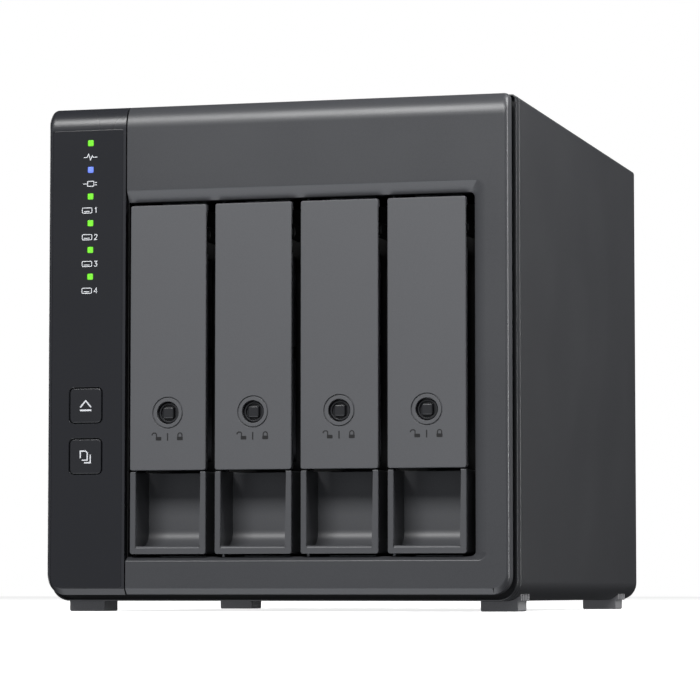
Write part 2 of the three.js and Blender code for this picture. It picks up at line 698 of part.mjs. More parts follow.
// Front box with the finger pocket, open below the handle.
function carrierPocket() {
  const half = TRAY_WIDTH / 2;
  const box = block(-half, half, TRAY_FRONT, BULKHEAD_BACK, TRAY_BOTTOM, POCKET.top);
  return box.subtract(pocketCut());
}

// Wall behind the handle, open for air.
function carrierBulkhead() {
  const { half, spans } = BULKHEAD_OPENINGS;
  const openings = spans.map(([z0, z1]) =>
    block(-half, half, BULKHEAD_FRONT - 1, BULKHEAD_BACK + 1, z0, z1));
  return block(SLED_LEFT, TRAY_WIDTH / 2, BULKHEAD_FRONT, BULKHEAD_BACK, TRAY_BOTTOM, SLED_TOP)
    .subtract(join(...openings));
}

// Side wall and the two rails that carry the drive.
function carrierSled() {
  const right = TRAY_WIDTH / 2;
  const back = DRIVE_BACK - 1;
  const { bottom, top, spans } = SLED_OPENINGS;
  const openings = spans.map(([y0, y1]) => block(SLED_LEFT - 1, SLED_LEFT + 2, y0, y1, bottom, top));
  const side = block(SLED_LEFT, SLED_LEFT + SLED_WALL, BULKHEAD_FRONT, back, TRAY_BOTTOM, SLED_TOP);
  const lowerTop = TRAY_BOTTOM + LOWER_RAIL_HEIGHT;
  const upperBottom = SLED_TOP - RAIL_HEIGHT;
  return join(
    side.subtract(join(...openings)),
    block(SLED_LEFT, right, BULKHEAD_FRONT, back, TRAY_BOTTOM, lowerTop),
    block(SLED_LEFT, right, BULKHEAD_FRONT, back, upperBottom, SLED_TOP),
  );
}

// Two arms with the holes for the handle's pins.
function carrierEars() {
  const half = TRAY_WIDTH / 2;
  const ears = [[-half + 0.1, -EAR.inner], [EAR.inner, half - 0.1]].map(([x0, x1]) => join(
    block(x0, x1, PIVOT.y, BULKHEAD_FRONT + 1, PIVOT.z - EAR.r, PIVOT.z + EAR.r),
    rodX(PIVOT.y, PIVOT.z, EAR.r, x0, x1),
  ));
  return join(...ears).subtract(rodX(PIVOT.y, PIVOT.z, PIVOT.hole, -half - 1, half + 1, 12));
}

function trayCarrier() {
  return join(carrierPocket(), carrierBulkhead(), carrierSled(), carrierEars());
}

function trayHandle() {
  const half = TRAY_WIDTH / 2;
  const back = FRONT + HANDLE_THICK;
  const { inner, relief, reliefFront } = EAR;
  const reliefEdges = [[-half - 1, -inner + GAP], [inner - GAP, half + 1]];
  const reliefs = reliefEdges.map(([x0, x1]) =>
    block(x0, x1, reliefFront, back + 1, PIVOT.z - relief, PIVOT.z + relief));
  const plate = block(-half, half, FRONT, back, HANDLE_BOTTOM, TRAY_TOP).subtract(join(...reliefs));
  const { half: lugHalf, wall, back: lugBack, halfHeight } = LUG;
  const lugBottom = PIVOT.z - halfHeight;
  const lugTop = PIVOT.z + halfHeight;
  const lug = block(-lugHalf, lugHalf, back - 0.5, lugBack, lugBottom, lugTop);
  const hollowHalf = lugHalf - wall;
  const hollow = block(-hollowHalf, hollowHalf, back, lugBack + 1, lugBottom - 1, lugTop + 1);
  const pins = rodX(PIVOT.y, PIVOT.z, PIVOT.r, -half + 0.5, half - 0.5, 12);
  return join(plate, lug.subtract(hollow), pins)
    .subtract(rodY(0, LOCK_Z, LOCK.hole, FRONT - 1, back + 1, 28));
}

function trayLock() {
  const barrel = rodY(0, LOCK_Z, LOCK.r, LOCK.face, LOCK.back, 24);
  const { half, halfHeight, front } = LOCK_BOSS;
  const boss = block(-half, half, front, LOCK.face + 0.5, LOCK_Z - halfHeight, LOCK_Z + halfHeight);
  const { half: camHalf, thick, length } = LOCK_CAM;
  const cam = block(-camHalf, camHalf, LOCK.back - thick, LOCK.back, LOCK_Z - length, LOCK_Z);
  return join(barrel, boss, cam);
}

function hardDrive() {
  const half = DRIVE.width / 2;
  const z0 = DRIVE_Z - DRIVE.height / 2;
  const z1 = DRIVE_Z + DRIVE.height / 2;
  const { left, depth, height } = DRIVE_NOTCH;
  const notchBottom = DRIVE_Z - height / 2;
  const notchTop = DRIVE_Z + height / 2;
  const notch = block(left, half + 1, DRIVE_BACK - depth, DRIVE_BACK + 1, notchBottom, notchTop);
  return block(-half, half, DRIVE.front, DRIVE_BACK, z0, z1).subtract(notch);
}

function retainingStrip() {
  const z0 = DRIVE_Z + DRIVE.height / 2 + GAP;
  return block(-STRIP.half, STRIP.half, STRIP.front, STRIP.back, z0, SLED_TOP - RAIL_HEIGHT - GAP);
}

// ---------------------------------------------------------------- assembly

const nas = new THREE.Group();

piece(nas, 'front_bezel', frontBezel(), materials.bezel);
piece(nas, 'status_strip', statusStrip(), materials.strip);
piece(nas, 'strip_overlay', stripOverlay(), materials.overlay);
piece(nas, 'light_guide', lightGuide(), materials.clear);
piece(nas, 'eject_button', pushButton(EJECT_Z), materials.strip);
piece(nas, 'copy_button', pushButton(COPY_Z), materials.strip);
piece(nas, 'front_board', frontBoard(), materials.board);
piece(nas, 'eject_switch', tactSwitch(EJECT_Z), materials.dark);
piece(nas, 'copy_switch', tactSwitch(COPY_Z), materials.dark);
piece(nas, 'body_rim', bodyRim(), materials.dark);

piece(nas, 'outer_cover', outerCover(), materials.cover);
piece(nas, 'base_plate', basePlate(), materials.cover);
piece(nas, 'rear_panel', rearPanel(), materials.cover);
COVER_SCREWS.forEach(([x, z], i) => {
  piece(nas, `cover_screw_${i + 1}`, screw(x, z, 4), materials.metal);
});

const FEET = { front_left: [-1, -1], front_right: [1, -1], back_left: [-1, 1], back_right: [1, 1] };
for (const [corner, [side, end]] of Object.entries(FEET)) {
  piece(nas, `foot_${corner}`, foot(side, end), materials.rubber);
}

piece(nas, 'drive_cage', driveCage(), materials.sheet);
piece(nas, 'backplane_board', backplane(), materials.board);
piece(nas, 'controller_board', controllerBoard(), materials.board);
piece(nas, 'heat_sink', heatSink(), materials.metal);
piece(nas, 'lan_socket', socket(SOCKETS.lan), materials.metal);
piece(nas, 'usb_socket_1', socket(SOCKETS.usb_1), materials.metal);
piece(nas, 'usb_socket_2', socket(SOCKETS.usb_2), materials.metal);
piece(nas, 'power_socket', powerSocket(), materials.dark);
piece(nas, 'power_button', powerButton(), materials.strip);

piece(nas, 'fan_frame', fanFrame(), materials.dark);
piece(nas, 'fan_rotor', fanRotor(), materials.dark);
piece(nas, 'fan_lead', fanLead(), materials.dark);
fanScrewPlaces().forEach(([x, z], i) => {
  piece(nas, `fan_screw_${i + 1}`, screw(x, z, 9), materials.metal);
});

for (let i = 0; i < TRAY_COUNT; i += 1) {
  const name = `tray_${i + 1}`;
  const tray = new THREE.Group();
  tray.position.x = trayX(i);
  piece(tray, `${name}_carrier`, trayCarrier(), materials.pocket);
  piece(tray, `${name}_handle`, trayHandle(), materials.tray);
  piece(tray, `${name}_lock`, trayLock(), materials.dark);
  piece(tray, `${name}_drive`, hardDrive(), materials.metal);
  piece(tray, `${name}_strip`, retainingStrip(), materials.dark);
  nas.add(tray);
  piece(nas, `drive_connector_${i + 1}`, driveConnector(i), materials.dark);
}

export default nas;
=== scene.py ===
# Four-bay network attached storage: the visible pieces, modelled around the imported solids.
# Lengths are millimetres in the frame of the solids: +X right, +Y back, +Z up, Z = 0 at the feet.

import math

import bmesh
import bpy
from mathutils import Matrix, Vector


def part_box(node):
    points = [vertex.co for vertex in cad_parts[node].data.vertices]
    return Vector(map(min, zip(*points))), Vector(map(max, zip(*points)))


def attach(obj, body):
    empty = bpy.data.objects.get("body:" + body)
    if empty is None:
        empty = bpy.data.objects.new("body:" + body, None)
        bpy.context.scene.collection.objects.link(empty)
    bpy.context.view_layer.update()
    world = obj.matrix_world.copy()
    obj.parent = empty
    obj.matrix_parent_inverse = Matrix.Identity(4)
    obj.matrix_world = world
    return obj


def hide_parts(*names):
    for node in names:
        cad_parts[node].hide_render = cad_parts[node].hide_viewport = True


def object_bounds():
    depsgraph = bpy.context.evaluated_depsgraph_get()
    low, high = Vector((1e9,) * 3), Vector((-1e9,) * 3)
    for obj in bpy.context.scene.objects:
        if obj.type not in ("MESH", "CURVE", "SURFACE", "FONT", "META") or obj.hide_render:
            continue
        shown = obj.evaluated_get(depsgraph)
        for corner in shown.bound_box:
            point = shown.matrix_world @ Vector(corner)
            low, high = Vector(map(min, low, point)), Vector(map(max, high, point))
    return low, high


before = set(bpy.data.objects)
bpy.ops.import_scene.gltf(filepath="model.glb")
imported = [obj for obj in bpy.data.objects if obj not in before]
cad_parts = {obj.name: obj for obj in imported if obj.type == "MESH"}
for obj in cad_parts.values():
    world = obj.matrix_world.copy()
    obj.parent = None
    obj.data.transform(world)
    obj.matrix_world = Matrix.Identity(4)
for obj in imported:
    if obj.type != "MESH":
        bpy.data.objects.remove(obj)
CAD_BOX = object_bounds()

MM = 0.001
scene = bpy.context.scene


# ---------------------------------------------------------------- sizes

def span(*nodes):
    """Lowest and highest corner, in millimetres, of some nodes together."""
    boxes = [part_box(node) for node in nodes]
    low = [min(box[0][axis] for box in boxes) / MM for axis in range(3)]
    high = [max(box[1][axis] for box in boxes) / MM for axis in range(3)]
    return Vector(low), Vector(high)


LOW, HIGH = CAD_BOX[0] / MM, CAD_BOX[1] / MM
FRONT, BACK, TOP = LOW.y, HIGH.y, HIGH.z
FAR = 200.0  # outside the object on every side
SKIN = 0.04  # faces that carry printed marks lie this far behind the frontmost plane
FACE = FRONT + SKIN
PRINT = (FRONT, FACE + 0.02)  # depth taken by printed marks

STRIP_LOW, STRIP_HIGH = span("status_strip")
BEZEL_HALF = -STRIP_LOW.x
BEZEL_BOTTOM = STRIP_LOW.z
BEZEL_BACK = STRIP_HIGH.y
STRIP_RIGHT = STRIP_HIGH.x
BEZEL_LEFT = STRIP_RIGHT + 0.3
FILLET = {"depth": 5.2, "height": 7.6}  # rounded top edge
CHIN = {"depth": 1.6, "height": 2.0}  # bevelled bottom edge
SIDE_ROUND = 1.2
CORNER = {"low": 6.0, "high": 2.0}  # corner radii seen from the front
WINDOW = {"right": 67.3, "bottom": 18.0, "top": 136.0, "radius": 1.6}
MOUTH = {"right": 71.5, "bottom": 16.7, "top": 139.9, "radius": 2.8, "depth": 2.4}

LED_X, LED_TOP, LED_PITCH, LED_COUNT, LED_SIZE = -64.05, 156.4, 8.98, 6, 2.0

TRAYS = range(1, 5)
TRAY_LOW, TRAY_HIGH = span("tray_1_handle")
TRAY_HALF = (TRAY_HIGH.x - TRAY_LOW.x) / 2
HANDLE = {"bottom": TRAY_LOW.z, "top": TRAY_HIGH.z, "thick": 2.6}
PIVOT = {"y": FRONT + 3.8, "z": 125.0, "r": 1.3, "hole": 1.6}
EAR = {"inner": 11.3, "r": 2.4, "relief": 7.0}
LOCK_Z = 65.6
CARRIER_LOW, CARRIER_HIGH = span("tray_1_carrier")
POCKET = {"top": 46.1, "floor": 21.5, "wall": 2.0, "depth": 14.0, "r": 5.4}
BULKHEAD = (FRONT + 19.5, FRONT + 21.5)


def tray_x(number):
    low, high = span(f"tray_{number}_handle")
    return (low.x + high.x) / 2


# ---------------------------------------------------------------- outlines

def arc(x, z, r, start, end, steps=8):
    if r <= 0:
        return [(x, z)]
    angles = [math.radians(start + (end - start) * i / steps) for i in range(steps + 1)]
    return [(x + r * math.cos(a), z + r * math.sin(a)) for a in angles]


def rounded(x0, x1, z0, z1, radii, steps=8):
    """Rectangle outline with corner radii in the order bottom left, bottom right, top right, top left."""
    bl, br, tr, tl = radii if isinstance(radii, tuple) else (radii,) * 4
    return (
        arc(x0 + bl, z0 + bl, bl, 180, 270, steps)
        + arc(x1 - br, z0 + br, br, 270, 360, steps)
        + arc(x1 - tr, z1 - tr, tr, 0, 90, steps)
        + arc(x0 + tl, z1 - tl, tl, 90, 180, steps)
    )


def around(low, high, radii, steps, grow=0.0):
    """Front view of the box from low to high, with rounded corners, grown all round."""
    return rounded(low.x - grow, high.x + grow, low.z - grow, high.z + grow, radii, steps)


def circle(x, z, r, sides=48):
    return arc(x, z, r, 0, 360, sides)[:-1]


def inset(points, distance):
    """The outline moved inwards by distance. The outline runs anticlockwise."""
    moved = []
    count = len(points)
    for i in range(count):
        before = Vector(points[i - 1])
        here = Vector(points[i])
        after = Vector(points[(i + 1) % count])
        n0 = (here - before).normalized()
        n1 = (after - here).normalized()
        n0, n1 = Vector((-n0.y, n0.x)), Vector((-n1.y, n1.x))
        middle = (n0 + n1).normalized()
        moved.append(tuple(here + middle * (distance / max(middle.dot(n0), 0.3))))
    return moved


# ---------------------------------------------------------------- solids

def solid(points, faces):
    mesh = bpy.data.meshes.new("solid")
    mesh.from_pydata([Vector(p) * MM for p in points], [], faces)
    work = bmesh.new()
    work.from_mesh(mesh)
    bmesh.ops.recalc_face_normals(work, faces=work.faces)
    work.to_mesh(mesh)
    work.free()
    obj = bpy.data.objects.new("solid", mesh)
    scene.collection.objects.link(obj)
    return obj


def loft(loops):
    """Closed solid through loops that have the same number of points."""
    count = len(loops[0])
    points = [p for loop in loops for p in loop]
    faces = [tuple(range(count)), tuple(range(len(points) - count, len(points)))]
    for k in range(len(loops) - 1):
        for i in range(count):
            j = (i + 1) % count
            faces.append((k * count + i, k * count + j, (k + 1) * count + j, (k + 1) * count + i))
    return solid(points, faces)


def hoop(loops):
    """Ring-shaped solid: the last loop joins on to the first."""
    count = len(loops[0])
    total = len(loops)
    points = [p for loop in loops for p in loop]
    faces = []
    for k in range(total):
        here, there = k * count, (k + 1) % total * count
        for i in range(count):
            j = (i + 1) % count
            faces.append((here + i, here + j, there + j, there + i))
    return solid(points, faces)


def slab(points, y0, y1, front=0.0, back=0.0, steps=5):
    """A front-view outline given depth, with rounded front and back rims."""
    loops = []
    for k in range(steps + 1 if front else 0):
        turn = math.pi / 2 * k / steps
        ring = inset(points, front * (1 - math.sin(turn)))
        loops.append([(x, y0 + front * (1 - math.cos(turn)), z) for x, z in ring])
    if not front:
        loops.append([(x, y0, z) for x, z in points])
    if not back:
        loops.append([(x, y1, z) for x, z in points])
    for k in range(steps + 1 if back else 0):
        turn = math.pi / 2 * (1 - k / steps)
        ring = inset(points, back * (1 - math.sin(turn)))
        loops.append([(x, y1 - back * (1 - math.cos(turn)), z) for x, z in ring])
    return loft(loops)


def beam(points, x0, x1):
    """A side-view outline (Y, Z) given width."""
    return loft([[(x, y, z) for y, z in points] for x in (x0, x1)])


def block(x0, x1, y0, y1, z0, z1):
    return beam([(y0, z0), (y1, z0), (y1, z1), (y0, z1)], x0, x1)


def rod(x, z, r, y0, y1, sides=48, front=0.0, back=0.0):
    return slab(circle(x, z, r, sides), y0, y1, front, back)


def rod_x(y, z, r, x0, x1, sides=32):
    return beam(circle(y, z, r, sides), x0, x1)


def rod_z(x, y, r, z0, z1, sides=20):
    return loft([[(px, py, z) for px, py in circle(x, y, r, sides)] for z in (z0, z1)])


def tube(points, r, sides=16):
    """Round cable along a list of points."""
    rings = []
    for i, here in enumerate(points):
        ahead = Vector(points[min(i + 1, len(points) - 1)]) - Vector(points[max(i - 1, 0)])
        turn = ahead.to_track_quat("Z", "Y")
        ring = [turn @ Vector((x, y, 0)) for x, y in circle(0, 0, r, sides)]
        rings.append([tuple(Vector(here) + p) for p in ring])
    return loft(rings)


def merged(*objects):
    """Some solids that don't touch, as one object."""
    work = bmesh.new()
    for obj in objects:
        work.from_mesh(obj.data)
        discard(obj)
    mesh = bpy.data.meshes.new("merged")
    work.to_mesh(mesh)
    work.free()
    obj = bpy.data.objects.new("merged", mesh)
    scene.collection.objects.link(obj)
    return obj


def discard(obj):
    mesh = obj.data
    bpy.data.objects.remove(obj)
    if mesh.users == 0:
        bpy.data.meshes.remove(mesh)


def combine(base, tools, operation, tidy):
    """The base with tools cut from it or joined to it. Tidying removes edges that lie in flat faces."""
    for tool in tools:
        step = base.modifiers.new("combine", "BOOLEAN")
        step.operation = operation
        step.solver = "EXACT"
        step.object = tool
    graph = bpy.context.evaluated_depsgraph_get()
    mesh = bpy.data.meshes.new_from_object(base.evaluated_get(graph))
    base.modifiers.clear()
    old = base.data
    base.data = mesh
    bpy.data.meshes.remove(old)
    for tool in tools:
        discard(tool)
    work = bmesh.new()
    work.from_mesh(mesh)
    bmesh.ops.remove_doubles(work, verts=work.verts, dist=0.002 * MM)
    if tidy:
        bmesh.ops.dissolve_limit(
            work, angle_limit=math.radians(0.5), verts=work.verts, edges=work.edges,
        )
    work.to_mesh(mesh)
    work.free()
    return base


def cut(base, *tools, tidy=True):
    return combine(base, tools, "DIFFERENCE", tidy)


def join(base, *tools):
    return combine(base, tools, "UNION", True)


def stroke(points, width, y0, y1, closed=False):
    """A drawn line of even width, as a thin solid."""
    half = width / 2
    count = len(points)
    left, right = [], []
    for i, here in enumerate(points):
        here = Vector(here)
        before = Vector(points[i - 1]) if closed or i else None
        after = Vector(points[(i + 1) % count]) if closed or i < count - 1 else None
        ways = [(here - before).normalized()] if before is not None else []
        ways += [(after - here).normalized()] if after is not None else []
        normals = [Vector((-way.y, way.x)) for way in ways]
        middle = sum(normals, Vector((0, 0))).normalized()
        reach = half / max(middle.dot(normals[0]), 0.4)
        left.append(here + middle * reach)
        right.append(here - middle * reach)
    points, faces = [], []
    for a, b in zip(left, right):
        points += [(a.x, y0, a.y), (b.x, y0, b.y), (b.x, y1, b.y), (a.x, y1, a.y)]
    for i in range(count if closed else count - 1):
        here, there = 4 * i, 4 * ((i + 1) % count)
        for k in range(4):
            faces.append((here + k, here + (k + 1) % 4, there + (k + 1) % 4, there + k))
    if not closed:
        faces += [(0, 1, 2, 3), tuple(4 * (count - 1) + k for k in range(4))]
    return solid(points, faces)


def mark(points, width, closed=False):
    """A printed line on the front."""
    return stroke(points, width, *PRINT, closed)


def moved(points, x, z):
    return [(x + dx, z + dz) for dx, dz in points]


# ---------------------------------------------------------------- materials

def linear(level):
    """Linear value of a screen level from 0 to 255."""
    share = level / 255
    return share / 12.92 if share <= 0.04045 else ((share + 0.055) / 1.055) ** 2.4


def tone(red, green, blue):
    return (linear(red), linear(green), linear(blue), 1.0)


def shaded(colour, share):
    """The colour made darker or lighter by a share."""
    return tuple(c * share for c in colour[:3]) + (1.0,)


def fill_ramp(node, stops):
    """Gives a colour ramp node its (position, colour) stops."""
    elements = node.color_ramp.elements
    while len(elements) < len(stops):
        elements.new(0.5)
    for element, (position, colour) in zip(elements, stops):
        element.position = position
        element.color = colour


class Look:
    """A procedural material: one Principled shader and the nodes that vary it."""

    def __init__(self, name, roughness=0.5, metallic=0.0, **constants):
        self.material = bpy.data.materials.new(name)
        self.material.use_nodes = True
        self.nodes = self.material.node_tree.nodes
        self.links = self.material.node_tree.links
        self.shader = self.nodes["Principled BSDF"]
        self.shader.inputs["Roughness"].default_value = roughness
        self.shader.inputs["Metallic"].default_value = metallic
        for socket, value in constants.items():
            self.shader.inputs[socket.replace("_", " ").title()].default_value = value
        self.place = self.nodes.new("ShaderNodeTexCoord").outputs["Object"]

    def link(self, source, target):
        self.links.new(source, target)

    def scaled(self, stretch):
        mapping = self.nodes.new("ShaderNodeMapping")
        mapping.inputs["Scale"].default_value = stretch
        self.link(self.place, mapping.inputs["Vector"])
        return mapping.outputs["Vector"]

    def noise(self, size, detail=3.0, stretch=(1, 1, 1)):
        """Noise whose features are about size millimetres across, as an output from 0 to 1."""
        node = self.nodes.new("ShaderNodeTexNoise")
        node.inputs["Scale"].default_value = 1 / (size * MM)
        node.inputs["Detail"].default_value = detail
        node.inputs["Roughness"].default_value = 0.55
        self.link(self.scaled(stretch), node.inputs["Vector"])
        return node.outputs["Fac"]

    def cells(self, size, feature="F1", output="Color"):
        """Cells about size millimetres across."""
        node = self.nodes.new("ShaderNodeTexVoronoi")
        node.feature = feature
        node.inputs["Scale"].default_value = 1 / (size * MM)
        self.link(self.place, node.inputs["Vector"])
        return node.outputs[output]

    def ramp(self, source, stops):
        node = self.nodes.new("ShaderNodeValToRGB")
        fill_ramp(node, stops)
        self.link(source, node.inputs["Fac"])
        return node.outputs["Color"]

    def ranged(self, source, low, high, start=0.3, end=0.7):
        """The source's range from start to end, stretched to run from low to high."""
        node = self.nodes.new("ShaderNodeMapRange")
        for socket, value in (("From Min", start), ("From Max", end), ("To Min", low), ("To Max", high)):
            node.inputs[socket].default_value = value
        self.link(source, node.inputs["Value"])
        return node.outputs["Result"]

    def blend(self, factor, first, second):
        node = self.nodes.new("ShaderNodeMix")
        node.data_type = "RGBA"
        for value, socket in ((factor, 0), (first, 6), (second, 7)):
            if isinstance(value, bpy.types.NodeSocket):
                self.link(value, node.inputs[socket])
            else:
                node.inputs[socket].default_value = value
        return node.outputs[2]

    def coloured(self, source):
        self.link(source, self.shader.inputs["Base Color"])

    def rough(self, source):
        self.link(source, self.shader.inputs["Roughness"])

    def bumped(self, source, depth, strength=1.0):
        node = self.nodes.new("ShaderNodeBump")
        node.inputs["Strength"].default_value = strength
        node.inputs["Distance"].default_value = depth * MM
        self.link(source, node.inputs["Height"])
        self.link(node.outputs["Normal"], self.shader.inputs["Normal"])


def moulded(name, colour, roughness, grain, depth, variety, streaks=0.0):
    """Moulded or painted surface: fine grain, cloudy tone, uneven gloss."""
    look = Look(name, roughness)
    fine = look.noise(grain, 4.0)
    cloud = look.noise(38.0, 2.0)
    dark, light = shaded(colour, 1 - variety), shaded(colour, 1 + variety)
    tint = look.blend(look.ranged(fine, 0.0, 1.0), dark, light)
    tint = look.blend(look.ranged(cloud, 0.0, 0.35), tint, light)
    if streaks:
        lines = look.noise(1.1, 3.0, (0.02, 0.02, 1.0))
        tint = look.blend(look.ranged(lines, 0.0, streaks), tint, light)
    look.coloured(tint)
    look.rough(look.ranged(cloud, roughness - 0.015, roughness + 0.015))
    look.bumped(fine, depth)
    return look.material


def brushed(name, colour, roughness, stretch, size=0.5):
    """Brushed metal. The stretch draws the noise out into lines."""
    look = Look(name, roughness, 1.0)
    lines = look.noise(size, 5.0, stretch)
    look.coloured(look.blend(look.ranged(lines, 0.0, 1.0), shaded(colour, 0.82), colour))
    look.rough(look.ranged(lines, roughness - 0.07, roughness + 0.09))
    look.bumped(lines, 0.006)
    return look.material


def galvanised(name):
    """Zinc sheet with its crystal flakes."""
    look = Look(name, 0.38, 0.9)
    flakes = look.cells(7.0)
    clouds = look.noise(2.2, 4.0)
    tint = look.ramp(flakes, [(0.0, tone(142, 147, 152)), (1.0, tone(182, 186, 190))])
    look.coloured(look.blend(look.ranged(clouds, 0.0, 0.5), tint, tone(160, 164, 168)))
    look.rough(look.ranged(flakes, 0.3, 0.46, 0.0, 1.0))
    look.bumped(clouds, 0.01)
    return look.material


def circuit(name):
    """Green solder mask over copper tracks."""
    look = Look(name, 0.42, 0.0, coat_weight=0.4, coat_roughness=0.25)
    tracks = look.cells(2.4, "DISTANCE_TO_EDGE", "Distance")
    stops = [(0.0, tone(20, 74, 44)), (0.06, tone(24, 84, 50)), (0.09, tone(14, 56, 34))]
    mask = look.ramp(tracks, stops)
    grains = look.noise(0.6, 3.0)
    look.coloured(look.blend(look.ranged(grains, 0.0, 0.3), mask, tone(28, 92, 58)))
    look.rough(look.ranged(grains, 0.36, 0.5))
    look.bumped(tracks, 0.02, 0.6)
    return look.material


def cast_alloy(name):
    """Cast aluminium with small pits."""
    look = Look(name, 0.42, 0.85)
    pits = look.noise(0.5, 5.0)
    cloud = look.noise(24.0, 3.0)
    tint = look.blend(look.ranged(cloud, 0.0, 1.0), tone(120, 122, 126), tone(158, 160, 164))
    look.coloured(look.blend(look.ranged(pits, 0.0, 0.4), tint, tone(104, 106, 110)))
    look.rough(look.ranged(pits, 0.34, 0.52))
    look.bumped(pits, 0.02)
    return look.material


def glowing(name, colour, light, strength):
    """Lit window of a light guide: coloured plastic with a glow."""
    look = Look(name, 0.25)
    body = look.noise(0.5, 2.0)
    look.coloured(look.blend(look.ranged(body, 0.0, 1.0), colour, light))
    look.rough(look.ranged(body, 0.2, 0.32))
    look.shader.inputs["Emission Color"].default_value = light
    look.shader.inputs["Emission Strength"].default_value = strength
    return look.material


# name, colour, roughness, size and depth of the grain in millimetres, variety of tone
BEZEL = moulded("bezel_plastic", tone(66, 67, 70), 0.36, 0.4, 0.014, 0.10, streaks=0.25)
STRIP = moulded("strip_plastic", tone(44, 45, 49), 0.28, 0.3, 0.006, 0.08)
FILM = moulded("strip_film", tone(38, 39, 43), 0.18, 0.25, 0.002, 0.06)
BUTTON = moulded("button_plastic", tone(36, 37, 41), 0.3, 0.25, 0.004, 0.06)
TRAY_GREY = moulded("handle_plastic", tone(85, 86, 89), 0.5, 0.35, 0.010, 0.06)
TRAY_DARK = moulded("carrier_plastic", tone(76, 77, 80), 0.42, 0.4, 0.008, 0.07)
# Near-black plastic of the sled and the clips behind the frame: a real dark plastic, with its tone pushed
# this dark to paint the shade deep in the gaps between trays.
BLACK_PLASTIC_AND_SHADE = moulded("sled_plastic_painted_shade", tone(15, 15, 17), 0.6, 0.4, 0.010, 0.10)
LOCK = moulded("lock_plastic", tone(38, 39, 42), 0.32, 0.3, 0.006, 0.08)
COVER = moulded("cover_paint", tone(41, 42, 45), 0.44, 0.45, 0.025, 0.05)
RIM = moulded("rim_plastic", tone(41, 42, 45), 0.38, 0.35, 0.010, 0.08)
FOOT = moulded("foot_rubber", tone(116, 116, 118), 0.7, 0.5, 0.03, 0.10)
FAN = moulded("fan_plastic", tone(28, 28, 30), 0.42, 0.5, 0.012, 0.10)
LEAD = moulded("lead_sleeve", tone(26, 26, 28), 0.5, 0.5, 0.02, 0.12)
BLACK = moulded("connector_plastic", tone(30, 30, 32), 0.45, 0.3, 0.010, 0.12)
WHITE = moulded("white_ink", tone(226, 228, 232), 0.5, 0.2, 0.002, 0.04)
DARK_INK = moulded("dark_ink", tone(14, 14, 16), 0.5, 0.2, 0.002, 0.05)
GUIDE = moulded("light_guide_clear", tone(205, 212, 216), 0.12, 0.8, 0.004, 0.05)
SHEET = galvanised("galvanised_sheet")
BOARD = circuit("circuit_board")
ALLOY = cast_alloy("drive_casting")
DRIVE_COVER = brushed("drive_cover", tone(176, 178, 182), 0.3, (1.0, 1.0, 0.03))
SCREW = brushed("screw_zinc", tone(186, 188, 192), 0.28, (1.0, 1.0, 0.2), size=0.3)
SOCKET = brushed("socket_shell", tone(190, 192, 196), 0.24, (1.0, 0.05, 1.0), size=0.4)
FINS = brushed("heat_sink_anodised", tone(96, 98, 102), 0.4, (0.05, 1.0, 1.0), size=0.4)
GOLD = brushed("contact_gold", tone(214, 176, 96), 0.25, (1.0, 0.1, 1.0), size=0.3)
GREEN_LED = glowing("led_green", tone(60, 140, 30), tone(104, 196, 44), 1.05)
BLUE_LED = glowing("led_blue", tone(60, 80, 170), tone(104, 126, 220), 0.95)


# ---------------------------------------------------------------- putting pieces in place

def soften(obj, width, segments=3):
    """Round every sharp edge a little, and keep the flat faces flat."""
    edge = obj.modifiers.new("edges", "BEVEL")
    edge.width = width * MM
    edge.segments = segments
    edge.limit_method = "ANGLE"
    edge.angle_limit = math.radians(30)
    edge.use_clamp_overlap = False
    edge.harden_normals = True
    edge.miter_outer = "MITER_ARC"


def even_shading(obj):
    """Large flat faces stay flat; the rounding next to them takes the bend."""
    shading = obj.modifiers.new("shading", "WEIGHTED_NORMAL")
    shading.mode = "FACE_AREA"
    shading.weight = 80
    shading.keep_sharp = True


def place(obj, name, body, look, stands_for=(), edge=0.0, x=0.0):
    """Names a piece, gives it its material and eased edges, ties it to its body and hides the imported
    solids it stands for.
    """
    obj.name = name
    obj.data.name = name
    obj.data.materials.clear()
    obj.data.materials.append(look)
    obj.data.shade_smooth()
    if edge:
        soften(obj, edge)
    else:
        obj.data.set_sharp_from_angle(angle=math.radians(32))
    even_shading(obj)
    obj.location.x = x * MM
    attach(obj, body)
    if stands_for:
        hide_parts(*stands_for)


def fixed(obj, name, look, stands_for=(), edge=0.0):
    """Places a piece that doesn't move."""
    place(obj, name, "chassis", look, stands_for, edge)


def again(obj, name, body, stands_for=(), x=0.0):
    """The same piece once more, moved along X."""
    twin = obj.copy()
    scene.collection.objects.link(twin)
    twin.name = name
    twin.parent = None
    twin.matrix_world = Matrix.Translation((x * MM, 0, 0))
    for key in list(twin.keys()):
        if key.startswith("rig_"):
            del twin[key]
    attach(twin, body)
    if stands_for:
        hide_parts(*stands_for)


def carry(node, look, edge):
    """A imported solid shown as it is, with its flat faces cleaned, its edges eased and a real material."""
    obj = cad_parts[node]
    obj.data.materials.clear()
    obj.data.materials.append(look)
    weld = obj.modifiers.new("weld", "WELD")
    weld.merge_threshold = 0.001 * MM
    flat = obj.modifiers.new("flat", "DECIMATE")
    flat.decimate_type = "DISSOLVE"
    flat.angle_limit = math.radians(1)
    soften(obj, edge, 2)


# ---------------------------------------------------------------- front frame and status strip

def shortfall(depth, reach):
    """How far a quarter round of that reach is short of its full size at a depth, as a share from 1 to 0."""
    short = max(0.0, 1 - depth / reach)
    return 1 - math.sqrt(1 - short * short)


